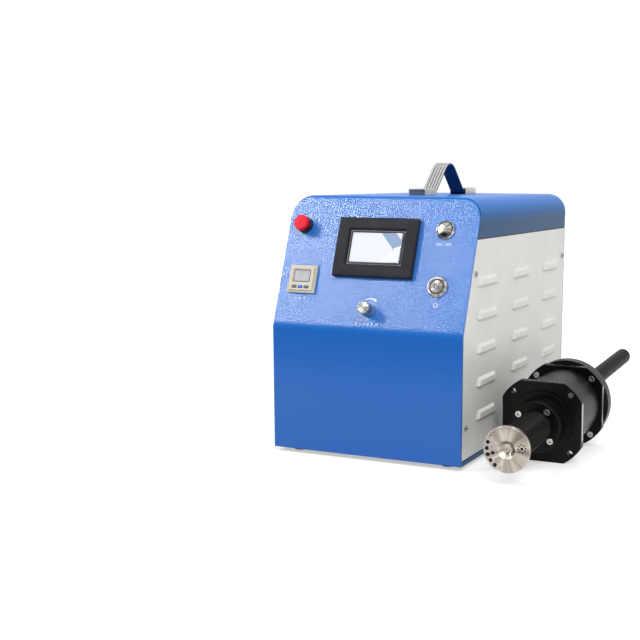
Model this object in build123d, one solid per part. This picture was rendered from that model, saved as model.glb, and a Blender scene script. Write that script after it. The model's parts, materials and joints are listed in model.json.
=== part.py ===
from build123d import *
import os
from math import atan2, cos, radians, sin, sqrt

# Atmospheric plasma generator with its rotary plasma gun. All sizes are millimetres.
# While it is modelled, x = 0 is the middle of the generator, y = 0 its front face and
# z = 0 the lower edge of its front panel. The last step moves the set so that its origin
# is the middle of its footprint, on the surface that it stands on.

# Generator housing
HOUSING_W = 248.0
HALF_W = HOUSING_W / 2
HOUSING_D = 395.0
PANEL_H = 304.0
FOLD_Z = 151.0
SLOPE_ANGLE = 20.5
PANEL_T = 3.6
PANEL_CORNER_R = 25.0
COVER_RISE = 2.0
COVER_T = 2.0
COVER_EDGE_Z = 260.0
SIDE_T = 1.6
SIDE_INSET = 0.4
SIDE_TOP_GAP = 1.4
SIDE_BOTTOM_Z = 6.8
TRAY_T = 2.0
TRAY_RAIL_H = 5.6
TRAY_FLANGE_H = 58.0
REAR_T = 2.0
SEAM = 0.3
GASKET_INSET = 0.6
BRACKET_T = 1.8
BRACKET_W = 22.0
BRACKET_PAST_SEAM = 12.0
FIT = 0.05
CUT = 1.0
INNER_X = HALF_W - COVER_T
BAY_HALF = INNER_X - BRACKET_T

# Feet and side screws
FOOT_R = 10.0
FOOT_H = 5.2
FOOT_INSET_X = 25.0
FOOT_INSET_Y = 24.0
FOOT_LIP = 1.0
FOOT_DRAFT = 1.6
FOOT_SCREW_R = 2.0
FOOT_SCREW_HEAD_R = 3.8
FOOT_SCREW_HEAD_T = 1.8
FOOT_SCREW_END = 3.0
SIDE_SCREW_R = 3.6
SIDE_SCREW_H = 2.2
SIDE_SCREW_SHANK_R = 2.0
SIDE_SCREW_LOW = (13.0, 44.0)
SIDE_SCREW_HIGH = (39.0, 220.0)
SIDE_SCREW_REAR_INSET = 9.0
SIDE_SCREW_EDGE = 0.7
SIDE_SCREW_TOP_R = 2.0
SLOT_L = 4.0
SLOT_W = 0.8
SLOT_DEPTH = 1.0

# Louvres, three columns of five on each side
LOUVRE_L = 69.5
LOUVRE_H = 10.5
LOUVRE_SLANT = 7.0
LOUVRE_DEPTH = 3.0
LOUVRE_END = 6.5
LOUVRE_FACE_H = 7.2
LOUVRE_FACE_SLANT = 4.5
LOUVRE_WALL = 1.2
MOUTH_MARGIN = 0.4
LOUVRE_Y0 = 45.5
LOUVRE_Z0 = 47.0
LOUVRE_REAR = 32.0
LOUVRE_PITCH_Z = 39.6
LOUVRE_COLUMNS = 3
LOUVRE_ROWS = 5
LOUVRE_PITCH_Y = (HOUSING_D - LOUVRE_Y0 - LOUVRE_L - LOUVRE_REAR) / (LOUVRE_COLUMNS - 1)

# Carrying handle
HANDLE_Y = 241.0
HANDLE_INNER_GAP = 102.0
CAP_L = 39.0
CAP_W = 24.0
CAP_H = 8.6
CAP_WALL = 1.2
STRAP_W = 20.0
STRAP_T = 3.0
STRAP_RISE = 40.0
STRAP_TOP_R = 18.0
STRAP_RIB_W = 2.0
STRAP_RIB_RISE = 0.7
STRAP_RIBS = 5
STRAP_SEAT = 1.8
HANDLE_HEAD_T = 1.7
STRAP_GRIP = 26.0
STRAP_LEG_INSET = 2.0
STRAP_SEAT_BEND_R = 6.0
STRAP_TOP_SHARE = 0.36
STRAP_SIDE_MARGIN = 1.0
CAP_CORNER_R = 2.0
CAP_CHAMFER = 0.6
HANDLE_SCREW_INSET = 4.0
HANDLE_SCREW_R = 2.5
HANDLE_HEAD_R = 4.4
HANDLE_NUT_R = 4.5
HANDLE_NUT_T = 4.0
HANDLE_SPACER_R = 6.0

# Controls on the slanted panel: place across, place up the slope from the fold
SCREEN_AT = (-0.5, 101.0)
SCREEN_FRAME_W = 104.0
SCREEN_FRAME_H = 73.0
SCREEN_FRAME_T = 6.0
SCREEN_WINDOW_W = 70.0
SCREEN_WINDOW_H = 41.0
SCREEN_RECESS = 3.4
SCREEN_GLASS_T = 1.4
SCREEN_BODY_W = 90.0
SCREEN_BODY_H = 60.0
SCREEN_BODY_D = 28.0
SCREEN_CORNER_R = 2.0
SCREEN_CHAMFER = 1.2
SCREEN_FLARE = 5.0
SCREEN_MARGIN = 8.0
METER_AT = (32.0 - HALF_W, 59.0)
METER_W = 36.5
METER_H = 34.0
METER_BASE_T = 3.0
METER_STEP = 2.4
METER_STEP_T = 2.2
METER_BODY_W = 30.0
METER_BODY_H = 28.0
METER_BODY_D = 26.0
METER_LCD_W = 24.0
METER_LCD_H = 17.0
METER_LCD_T = 1.2
METER_LCD_UP = 3.4
METER_KEY_W = 6.2
METER_KEY_H = 3.4
METER_KEY_T = 1.8
METER_KEY_UP = -10.4
METER_KEY_PITCH = 8.2
METER_KEY_PROUD = 0.7
KEY_TRAVEL = 0.5
METER_CORNER_R = 1.2
METER_LCD_SINK = 0.8
METER_LCD_LIP = 2.0
METER_PORT_R = 4.0
METER_PORT_L = 9.0
METER_PORT_X = 6.0
KEY_GAP = 0.12
KEY_CHAMFER = 0.3
RUN_AT = (HALF_W - 40.2, 125.8)
RUN_BEZEL_R = 11.5
RUN_CAP_R = 9.8
RUN_CAP_H = 4.6
RUN_DOME = 1.8
RUN_BARREL_R = 10.6
POWER_AT = (HALF_W - 40.0, 57.5)
POWER_BEZEL_R = 12.5
POWER_CAP_R = 8.9
POWER_CAP_H = 3.2
POWER_DOME = 0.5
POWER_BARREL_R = 10.9
BUTTON_BEZEL_T = 2.6
BUTTON_BARREL_L = 20.0
BUTTON_NUT_R = 13.6
BUTTON_NUT_T = 3.5
BUTTON_STEM_L = 8.0
BUTTON_BLOCK_L = 16.0
BUTTON_GAP = 0.1
BUTTON_SLOPE = 1.0
BUTTON_LIP = 0.4
BUTTON_LIP_DEPTH = 0.5
BUTTON_EDGE_SHARE = 0.45
CONTACT_INSET = 0.6
TAB_PITCH = 4.0
TAB_W = 4.0
TAB_T = 1.0
TAB_L = 6.0
STOP_AT = (23.0 - HALF_W, 127.0)
STOP_HEAD_R = 9.3
STOP_HEAD_T = 6.0
STOP_BASE_R = 9.9
STOP_BASE_T = 5.0
STOP_STEM_R = 5.0
STOP_BARREL_R = 7.9
STOP_TRAVEL = 3.0
STOP_REST_GAP = 0.3
STOP_CHAMFER = 0.8
KNOB_AT = (2.0, 25.0)
KNOB_R = 7.5
KNOB_L = 16.5
KNOB_FLUTES = 18
KNOB_FLUTE_R = 0.9
KNOB_LIFT = 1.0
POT_SHAFT_R = 3.0
POT_BUSH_R = 3.9
POT_BUSH_PROUD = 0.6
POT_BODY_R = 8.5
POT_BODY_L = 10.0
KNOB_CHAMFER = 0.9
KNOB_FLUTE_LOW = 2.5
KNOB_FLUTE_OUT = 0.35
KNOB_SKIN = 3.0
POT_SHAFT_TAIL = 4.0
POT_BORE_L = 5.0
POT_TAB_PITCH = 5.0
POT_TAB_W = 1.6
POT_TAB_T = 0.6
POT_TAB_L = 6.0

# Rear panel fittings: across and up
FAN_SIZE = 119.0
FAN_CLEAR = 8.7
FAN_AT = (FAN_SIZE / 2 + FAN_CLEAR - BAY_HALF, 190.0)
FAN_T = 25.0
FAN_BORE_R = 56.5
FAN_BLADE_R = 54.5
FAN_HUB_R = 19.0
FAN_BLADES = 7
FAN_SHAFT_R = 3.0
FAN_STRUT_W = 5.0
FAN_BOLT_PITCH = 105.0
FAN_CORNER_R = 6.0
FAN_BOLT_HOLE_R = 2.2
FAN_BOLT_R = 2.0
FAN_BOLT_HEAD_R = 3.8
FAN_BOLT_HEAD_T = 2.0
FAN_BOLT_L = 8.0
FAN_PLATE_T = 3.0
FAN_ROTOR_GAP = 1.0
FAN_ROTOR_FRONT = 3.0
FAN_SHAFT_FRONT = 6.0
FAN_BLADE_T = 1.6
FAN_BLADE_W = 22.0
FAN_BLADE_ANGLE = 52.0
FAN_ROOT = 2.0
FAN_STRUT_ROOT = 3.0
GUARD_WIRE_R = 1.1
GUARD_RINGS = 5
GUARD_STANDOFF = 3.0
GUARD_FIRST_R = 10.0
GUARD_LAST_MARGIN = 2.0
GUARD_ARM_W = 2.4
GUARD_ARM_T = 2.0
GUARD_ARM_START = 8.0
GUARD_EYE_R = 4.2
GUARD_EYE_BORE_R = 2.1
INLET_AT = (HALF_W - 64.0, 52.0)
INLET_W = 48.0
INLET_H = 27.5
INLET_FLANGE_T = 3.0
INLET_BODY_D = 22.0
INLET_HOLE_W = 25.0
INLET_HOLE_H = 17.0
INLET_HOLE_D = 16.0
INLET_CORNER_R = 3.0
INLET_BODY_WALL = 1.5
INLET_BODY_R = 2.0
INLET_CUT_CORNER = 5.0
INLET_PIN_PITCH = 7.0
INLET_PIN_DROP = 2.0
INLET_PIN_T = 2.0
INLET_PIN_W = 4.0
INLET_PIN_L = 11.0
GAS_AT = (HALF_W - 29.0, 120.0)
GAS_BORE_R = 4.0
GAS_BODY_R = 7.0
GAS_BODY_L = 18.0
GAS_NUT_R = 9.5
GAS_NUT_T = 4.0
GAS_TAIL_L = 14.0
SOCKET_AT = (HALF_W - 64.0, 190.0)
SOCKET_R = 15.0
SOCKET_FLANGE = 38.0
SOCKET_FLANGE_T = 3.0
SOCKET_L = 14.0
SOCKET_BORE_R = 12.0
SOCKET_BORE_D = 12.0
SOCKET_CORNER_R = 4.0
SOCKET_TAIL_L = 16.0
SOCKET_PIN_R = 1.5
SOCKET_PIN_L = 8.0
SOCKET_PIN_CIRCLE_R = 6.5

# Pieces inside the housing
MODULE_SIDE_GAP = 10.2
MODULE_MID_GAP = 6.0
MODULE_W = BAY_HALF - MODULE_SIDE_GAP - MODULE_MID_GAP
MODULE_X = -MODULE_MID_GAP - MODULE_W / 2
MODULE_L = 190.0
MODULE_H = 62.0
MODULE_Y0 = 150.0
MODULE_SLOTS = 6
MODULE_SLOT_Y = 20.0
MODULE_SLOT_PITCH = 14.0
MODULE_SLOT_W = 5.0
MODULE_SLOT_MARGIN = 20.0
MODULE_SLOT_DEPTH = 1.5
BOARD_INSET = 7.0
BOARD_W = MODULE_W - 2 * BOARD_INSET
BOARD_L = 150.0
BOARD_T = 1.6
BOARD_LIFT = 12.0
POST_R = 3.0
POST_INSET = 5.0
CHIP_X = (-30.0, 5.0)
CHIP_L = 40.0
CHIP_H = 10.0
ROW_X = (14.0, 34.0)
ROW_L = 120.0
ROW_H = 12.0
COIL_WALL = 10.0
COIL_SIDE_GAP = 8.2
COIL_MID_GAP = 8.0
COIL_END_GAP = 1.0
COIL_FIT = 0.1
CORE_W = BAY_HALF - COIL_SIDE_GAP - COIL_MID_GAP - 2 * COIL_WALL
CORE_X = COIL_MID_GAP + COIL_WALL + CORE_W / 2
CORE_Y = 230.0
CORE_L = 30.0
CORE_H = 84.0
CORE_LEG = 20.0
VALVE_X = HALF_W - 54.0
VALVE_Y = 110.0
VALVE_W = 26.0
VALVE_L = 40.0
VALVE_H = 22.0
VALVE_COIL_R = 11.0
VALVE_COIL_H = 30.0

# Plasma gun, measured along its axis from the front plate's face towards the nozzle
GUN_X = HALF_W + 68.0
GUN_Y = 86.0
PLATE_SIZE = 97.5
PLATE_CORNER_R = 56.0
PLATE_T = 11.0
PLATE_HOLE_R = 3.3
PLATE_PCD = 100.0
BODY_R = 45.0
BODY_WALL = 3.0
BODY_L = 83.0
REAR_CAP_R = 54.0
REAR_CAP_L = 17.0
REAR_CAP_WALL = 3.0
REAR_CAP_RIM = 10.0
BOSS_FOOT_R = 38.0
BOSS_FOOT_T = 4.0
BOSS_R = 30.4
BOSS_L = 25.0
BOSS_SCREW_R = 3.8
BOSS_SCREW_H = 3.4
BOSS_SCREW_CIRCLE = 24.3
BOSS_SCREW_TURN = 7.5
SPINDLE_R = 15.0
SPINDLE_BORE_R = 10.0
BEARING_R = 21.0
BEARING_T = 8.0
STATOR_L = 42.0
ROTOR_R = 25.4
AIR_GAP = 0.6
TUBE_R = 19.5
TUBE_L = 86.0
COLLAR_R = 24.0
COLLAR_L = 8.7
DISC_R = 26.5
DISC_T = 6.3
DISC_BOWL_R = 10.5
DISC_BOWL_DEPTH = 4.6
JET_R = 2.3
JET_OFFSET = 4.5
JET_ANGLE = 22.0
CLUSTER_AT = (18.2, 1.0)
CLUSTER_CIRCLE_R = 4.2
CLUSTER_HOLES = 8
CLUSTER_HOLE_R = 0.95
BALANCE_HOLES = 6
BALANCE_HOLE_R = 1.7
BALANCE_CIRCLE_R = 21.5
BALANCE_STEP = 17.0
ELECTRODE_R = 4.0
TAIL_R = 11.0
TAIL_BORE_R = 8.0
TAIL_L = 256.0
TAIL_AT = (6.0, 7.0)
PLATE_SLOT_L = 32.0
PLATE_SLOT_W = 3.0
PLATE_SLOT_DEPTH = 3.0
GUN_SCREW_R = 2.0
GUN_SCREW_BORE_R = 2.1
GUN_SCREW_L = 8.0
GUN_SCREW_HEAD_H = 3.6
GUN_SCREW_BORE_L = 9.0
BOSS_SCREW_L = 11.0
BOSS_SCREW_BORE_L = 12.0
KEY_SOCKET_R = 1.9
KEY_SOCKET_DEPTH = 2.0
BOSS_CHAMFER = 0.8
REAR_CAP_CHAMFER = 2.0
HOLDER_R = 30.0
HOLDER_T = 7.0
ELECTRODE_END = 4.0
ELECTRODE_TAIL = 9.0
PRESS_FIT = 0.02
RUN_GAP = 0.6
SPINDLE_END = 0.5
DISC_CHAMFER = 0.8
BOWL_SHARE = 0.62
JET_SIDE = 0.9
CLUSTER_DEPTH = 3.0
CLUSTER_MIDDLE_R = 1.4
BALANCE_DEPTH = 3.5
BALANCE_TURN = 10.0

COVER_TOP = PANEL_H + COVER_RISE
TILT = radians(SLOPE_ANGLE)
SLOPE_LEN = (PANEL_H - FOLD_Z) / cos(TILT)
REAR_IN = HOUSING_D - REAR_T
SHEET_REAR = REAR_IN - SEAM
SLOPE = Plane(origin=(0, 0, FOLD_Z), x_dir=(1, 0, 0), z_dir=(0, -cos(TILT), sin(TILT)))
GUN_TILT = atan2(REAR_CAP_R - PLATE_SIZE / 2, PLATE_T + BODY_L + PLATE_T)
GUN_Z = -FOOT_H + PLATE_SIZE / 2 * cos(GUN_TILT)
GUN = Plane(origin=(GUN_X, GUN_Y, GUN_Z), x_dir=(1, 0, 0), z_dir=(0, -cos(GUN_TILT), -sin(GUN_TILT)))
DIAGONALS = (45, 135, 225, 315)
PARTS = {}
SCREWS = []
NUTS = []
CONTACTS = []
PINS = []


def keep(name, *solids):
    """Store the finished solids of one node."""
    shape = solids[0] if len(solids) == 1 else Compound(children=list(solids))
    PARTS[name] = shape


def box(x0, x1, y0, y1, z0, z1):
    """A block between two corners."""
    return Pos((x0 + x1) / 2, (y0 + y1) / 2, (z0 + z1) / 2) * Box(x1 - x0, y1 - y0, z1 - z0)


def rod(r, z0, z1, x=0.0, y=0.0):
    """A cylinder along z."""
    return Pos(x, y, (z0 + z1) / 2) * Cylinder(r, z1 - z0)


def ring(r_out, r_in, z0, z1, x=0.0, y=0.0):
    """A tube along z."""
    return rod(r_out, z0, z1, x, y) - rod(r_in, z0 - 1, z1 + 1, x, y)


def slab(w, h, r, z0, z1, x=0.0, y=0.0):
    """A block along z with rounded upright edges."""
    return Pos(x, y, z0) * extrude(RectangleRounded(w, h, r), z1 - z0)


def prism_y(sketch, y0, y1):
    """Push a front-view sketch (x across, z up) from y0 back to y1."""
    plane = Plane(origin=(0, y1, 0), x_dir=(1, 0, 0), z_dir=(0, -1, 0))
    return extrude(plane * sketch, y1 - y0)


def prism_x(points, x0, x1):
    """Push a side-view outline (y, z) from x0 to x1."""
    plane = Plane(origin=(x0, 0, 0), x_dir=(0, 1, 0), z_dir=(1, 0, 0))
    return extrude(plane * make_face(Polyline(*points, close=True)), x1 - x0)


def mirrored(solid):
    """The same solid on the other side of the middle plane."""
    return mirror(solid, about=Plane.YZ)


def on_slope(at, solid):
    """Place a solid on the slanted panel, its z axis along the outward normal."""
    return SLOPE.location * Pos(at[0], at[1], 0) * solid


def on_rear(at, solid):
    """Place a solid on the rear panel's outer face, its z axis pointing backwards."""
    plane = Plane(origin=(at[0], HOUSING_D, at[1]), x_dir=(-1, 0, 0), z_dir=(0, 1, 0))
    return plane.location * solid


def on_gun(solid):
    """Place a solid on the gun's axis, z towards the nozzle."""
    return GUN.location * solid


def slope_y(z, depth):
    """The y of the surface that lies depth behind the slanted face, at height z."""
    lower = depth
    upper = (depth + (z - FOLD_Z) * sin(TILT)) / cos(TILT)
    return max(lower, upper)


def fold_z(depth):
    """Height of the bend line of a surface that lies depth behind the face."""
    return FOLD_Z + depth * (cos(TILT) - 1) / sin(TILT)


def side_outline(depth, z_low, z_high, y_back):
    """Side-view outline that follows the bent front at a depth behind it."""
    slope_top = (slope_y(z_high, depth), z_high)
    return [(depth, z_low), (y_back, z_low), (y_back, z_high), slope_top, (depth, fold_z(depth))]


def arch(width, top, r, low):
    """Front-view outline with two rounded upper corners, cut off at a height."""
    height = 2 * (top - low)
    full = Pos(0, top - height / 2) * RectangleRounded(width, height, r)
    return full & (Pos(0, low + (top - low) / 2) * Rectangle(width, top - low))


def front_panel():
    """Bent front plate with rounded upper corners and the openings of its controls."""
    bent = [(0, 0), (PANEL_T, 0), (PANEL_T, fold_z(PANEL_T)), (slope_y(PANEL_H, PANEL_T), PANEL_H),
            (slope_y(PANEL_H, 0), PANEL_H), (0, FOLD_Z)]
    panel = prism_x(bent, -HALF_W, HALF_W)
    panel = panel & prism_y(arch(HOUSING_W, PANEL_H, PANEL_CORNER_R, 0), -1, slope_y(PANEL_H, PANEL_T) + 1)
    depth = PANEL_T + 1
    panel -= on_slope(SCREEN_AT, slab(SCREEN_BODY_W + FIT * 2, SCREEN_BODY_H + FIT * 2, 1, -depth, 1))
    panel -= on_slope(METER_AT, slab(METER_BODY_W + FIT * 2, METER_BODY_H + FIT * 2, 1, -depth, 1))
    holes = ((RUN_AT, RUN_BARREL_R), (POWER_AT, POWER_BARREL_R), (STOP_AT, STOP_BARREL_R),
             (KNOB_AT, POT_BUSH_R))
    for at, radius in holes:
        panel -= on_slope(at, rod(radius + FIT, -depth, 1))
    keep("front_panel", panel)


def top_cover():
    """Blue cover: flat top, rounded shoulders and a short upright strip on each side."""
    outer = arch(HOUSING_W, COVER_TOP, PANEL_CORNER_R, COVER_EDGE_Z)
    inner = arch(HOUSING_W - 2 * COVER_T, COVER_TOP - COVER_T, PANEL_CORNER_R - COVER_T,
                 COVER_EDGE_Z - COVER_T)
    cover = prism_y(outer, 0, SHEET_REAR) - prism_y(inner, -1, SHEET_REAR + 1)
    depth = PANEL_T + SEAM
    reach = side_outline(depth, COVER_EDGE_Z - CUT, COVER_TOP + CUT, SHEET_REAR)
    low_corner = (slope_y(COVER_EDGE_Z - CUT, depth), COVER_EDGE_Z - CUT)
    cover = cover & prism_x([reach[1], reach[2], reach[3], low_corner], -HALF_W - CUT, HALF_W + CUT)
    for y in handle_screw_places():
        cover -= rod(HANDLE_SCREW_R + FIT, COVER_TOP - COVER_T - 1, COVER_TOP + 1, 0, y)
    keep("top_cover", cover)


def handle_screw_places():
    """The y of the two screws that hold the strap's ends."""
    reach = HANDLE_INNER_GAP / 2 + CAP_L / 2 + HANDLE_SCREW_INSET
    return HANDLE_Y - reach, HANDLE_Y + reach


def louvre_outline(inset, low, end, height, slant):
    """Side-view outline of a hood: wide at its open lower edge, narrower at its top."""
    left, top_left, top = end + inset, end + slant + inset, height - inset
    right, top_right = LOUVRE_L - left, LOUVRE_L - top_left
    return make_face(Polyline((left, low), (right, low), (top_right, top), (top_left, top), close=True))


def louvre(inset, low):
    """One pressed hood, or with an inset and a low start the hollow inside it."""
    foot = louvre_outline(inset, low, 0, LOUVRE_H, LOUVRE_SLANT)
    face = louvre_outline(inset, low, LOUVRE_END, LOUVRE_FACE_H, LOUVRE_FACE_SLANT)
    return loft(Sketch() + [foot, Pos(0, 0, LOUVRE_DEPTH - inset) * face])


def side_panels():
    """White side panels with three columns of five pressed louvres."""
    outer_x = HALF_W - SIDE_INSET
    outline = side_outline(PANEL_T + SEAM, SIDE_BOTTOM_Z, COVER_EDGE_Z - SIDE_TOP_GAP, SHEET_REAR)
    panel = prism_x(outline, outer_x - SIDE_T, outer_x)
    hood = louvre(0, 0) - louvre(LOUVRE_WALL, -CUT)
    mouth = louvre_outline(LOUVRE_WALL + MOUTH_MARGIN, MOUTH_MARGIN, 0, LOUVRE_H, LOUVRE_SLANT)
    mouth = Pos(0, 0, -SIDE_T - CUT) * extrude(mouth, SIDE_T + 2 * CUT)
    hoods = []
    for column in range(LOUVRE_COLUMNS):
        for row in range(LOUVRE_ROWS):
            y = LOUVRE_Y0 + column * LOUVRE_PITCH_Y
            z = LOUVRE_Z0 + row * LOUVRE_PITCH_Z
            place = Plane(origin=(outer_x, y, z), x_dir=(0, 1, 0), z_dir=(1, 0, 0)).location
            panel -= place * mouth
            hoods.append(place * hood)
    panel = panel.fuse(*hoods)
    for y, z in side_screw_places():
        hole = Plane(origin=(outer_x, y, z), x_dir=(0, 1, 0), z_dir=(1, 0, 0)).location
        panel -= hole * rod(SIDE_SCREW_SHANK_R + FIT, -SIDE_T - 1, 1)
    keep("side_panel_right", panel)
    keep("side_panel_left", mirrored(panel))


def side_screw_places():
    """Side-view places (y, z) of the four screws of each side panel."""
    rear = SHEET_REAR - SIDE_SCREW_REAR_INSET
    return [SIDE_SCREW_LOW, SIDE_SCREW_HIGH, (rear, SIDE_SCREW_LOW[1]), (rear, SIDE_SCREW_HIGH[1])]


def side_screws():
    """Pan-head screws of both side panels, as one group."""
    outer_x = HALF_W - SIDE_INSET
    outline = Polyline((0, 0), (SIDE_SCREW_R, 0), (SIDE_SCREW_R, SIDE_SCREW_EDGE),
                       (SIDE_SCREW_TOP_R, SIDE_SCREW_H), (0, SIDE_SCREW_H), close=True)
    head = revolve(Plane.XZ * make_face(outline), Axis.Z)
    screw = head + rod(SIDE_SCREW_SHANK_R, -SIDE_T - BRACKET_T, 0)
    slot_low = SIDE_SCREW_H - SLOT_DEPTH
    slot = box(-SLOT_L / 2, SLOT_L / 2, -SLOT_W / 2, SLOT_W / 2, slot_low, SIDE_SCREW_H + CUT)
    screw = screw - slot - (Rot(0, 0, 90) * slot)
    screws = []
    for y, z in side_screw_places():
        one = Plane(origin=(outer_x, y, z), x_dir=(0, 1, 0), z_dir=(1, 0, 0)).location * screw
        screws += [one, mirrored(one)]
    SCREWS.extend(screws)


def seam_gaskets():
    """Black strips in the seam between the cover and each side panel."""
    z_low = COVER_EDGE_Z - SIDE_TOP_GAP
    y0 = slope_y(COVER_EDGE_Z, PANEL_T + SEAM)
    strip = box(INNER_X, HALF_W - SIDE_INSET - GASKET_INSET, y0, SHEET_REAR, z_low, COVER_EDGE_Z)
    keep("seam_gaskets", strip, mirrored(strip))


def base_tray():
    """Blue floor of the housing: plate, outer rail edge and inner screw flanges."""
    y0 = PANEL_T + SEAM
    tray = box(-HALF_W + SIDE_INSET, HALF_W - SIDE_INSET, y0, SHEET_REAR, 0, TRAY_T)
    for side in (-1, 1):
        rail = sorted((side * INNER_X, side * (HALF_W - SIDE_INSET)))
        flange = sorted((side * (INNER_X - BRACKET_T), side * INNER_X))
        tray += box(*rail, y0, SHEET_REAR, 0, TRAY_RAIL_H)
        tray += box(*flange, y0, SHEET_REAR, 0, TRAY_FLANGE_H)
    for y in (SIDE_SCREW_LOW[0], SHEET_REAR - SIDE_SCREW_REAR_INSET):
        hole = Plane(origin=(0, y, SIDE_SCREW_LOW[1]), x_dir=(0, 1, 0), z_dir=(1, 0, 0)).location
        tray -= hole * rod(SIDE_SCREW_SHANK_R + FIT, -HALF_W, HALF_W)
    for x, y in foot_places():
        tray -= rod(FOOT_SCREW_R + FIT, -1, TRAY_T + 1, x, y)
    keep("base_tray", tray)


def foot_places():
    """Floor-plan places of the four feet."""
    x = HALF_W - FOOT_INSET_X
    return [(side * x, y) for side in (-1, 1) for y in (FOOT_INSET_Y, HOUSING_D - FOOT_INSET_Y)]


def feet():
    """Four rubber feet, each with a sunk screw up into the tray."""
    bore, well = FOOT_SCREW_R + FIT, FOOT_SCREW_HEAD_R + FIT
    outline = Polyline((bore, 0), (FOOT_R, 0), (FOOT_R - FOOT_DRAFT / 3, FOOT_LIP - FOOT_H),
                       (FOOT_R - FOOT_DRAFT, -FOOT_H), (well, -FOOT_H), (well, -FOOT_H / 2),
                       (bore, -FOOT_H / 2), close=True)
    foot = revolve(Plane.XZ * make_face(outline), Axis.Z)
    screw = rod(FOOT_SCREW_HEAD_R, -FOOT_H / 2 - FOOT_SCREW_HEAD_T, -FOOT_H / 2)
    screw += rod(FOOT_SCREW_R, -FOOT_H / 2, TRAY_T + FOOT_SCREW_END)
    keep("feet", *[Pos(x, y, 0) * foot for x, y in foot_places()])
    SCREWS.extend([Pos(x, y, 0) * screw for x, y in foot_places()])


def corner_brackets():
    """Upright sheet-metal brackets that carry the cover and take the side screws."""
    high = COVER_EDGE_Z + BRACKET_PAST_SEAM
    low = TRAY_FLANGE_H + SEAM
    depth = PANEL_T
    top_y = slope_y(high, depth)
    outline = [(depth, low), (depth + BRACKET_W, low), (depth + BRACKET_W, fold_z(depth)),
               (top_y + BRACKET_W, high), (top_y, high), (depth, fold_z(depth))]
    front = prism_x(outline, INNER_X - BRACKET_T, INNER_X)
    rear = box(INNER_X - BRACKET_T, INNER_X, REAR_IN - BRACKET_W, REAR_IN, low, high)
    brackets = []
    for bracket, y in ((front, SIDE_SCREW_HIGH[0]), (rear, SHEET_REAR - SIDE_SCREW_REAR_INSET)):
        hole = Plane(origin=(INNER_X, y, SIDE_SCREW_HIGH[1]), x_dir=(0, 1, 0), z_dir=(1, 0, 0)).location
        bracket -= hole * rod(SIDE_SCREW_SHANK_R + FIT, -BRACKET_T - 1, 1)
        brackets += [bracket, mirrored(bracket)]
    keep("corner_brackets", *brackets)


def rear_panel():
    """Flat rear panel with the openings of the fan, inlet, gas fitting and gun socket."""
    panel = prism_y(arch(HOUSING_W, COVER_TOP, PANEL_CORNER_R, 0), REAR_IN, HOUSING_D)
    depth = REAR_T + 1
    panel -= on_rear(FAN_AT, rod(FAN_BORE_R, -depth, 1))
    for sx in (-1, 1):
        for sy in (-1, 1):
            x, y = sx * FAN_BOLT_PITCH / 2, sy * FAN_BOLT_PITCH / 2
            panel -= on_rear(FAN_AT, rod(FAN_BOLT_HOLE_R, -depth, CUT, x, y))
    body_w, body_h = INLET_HOLE_W + 2 * INLET_BODY_WALL, INLET_HOLE_H + 2 * INLET_BODY_WALL
    panel -= on_rear(INLET_AT, slab(body_w + 2 * FIT, body_h + 2 * FIT, INLET_BODY_R, -depth, CUT))
    panel -= on_rear(GAS_AT, rod(GAS_BODY_R + FIT, -depth, 1))
    panel -= on_rear(SOCKET_AT, rod(SOCKET_R + FIT, -depth, 1))
    keep("rear_panel", panel)


def strap_line():
    """Centre line of the strap in the side view: seat, leg, rounded top, leg, seat."""
    z0 = COVER_TOP + STRAP_SEAT + STRAP_T / 2
    top = COVER_TOP + STRAP_RISE - STRAP_T / 2
    half = HANDLE_INNER_GAP / 2
    leg = half - STRAP_LEG_INSET
    peak = top + STRAP_TOP_R * STRAP_TOP_SHARE
    points = [(HANDLE_Y - half - STRAP_GRIP, z0), (HANDLE_Y - leg, z0), (HANDLE_Y, peak),
              (HANDLE_Y + leg, z0), (HANDLE_Y + half + STRAP_GRIP, z0)]
    plane = Plane(origin=(0, 0, 0), x_dir=(0, 1, 0), z_dir=(1, 0, 0))
    return plane * FilletPolyline(*points, radius=[STRAP_SEAT_BEND_R, STRAP_TOP_R, STRAP_SEAT_BEND_R])


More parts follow.
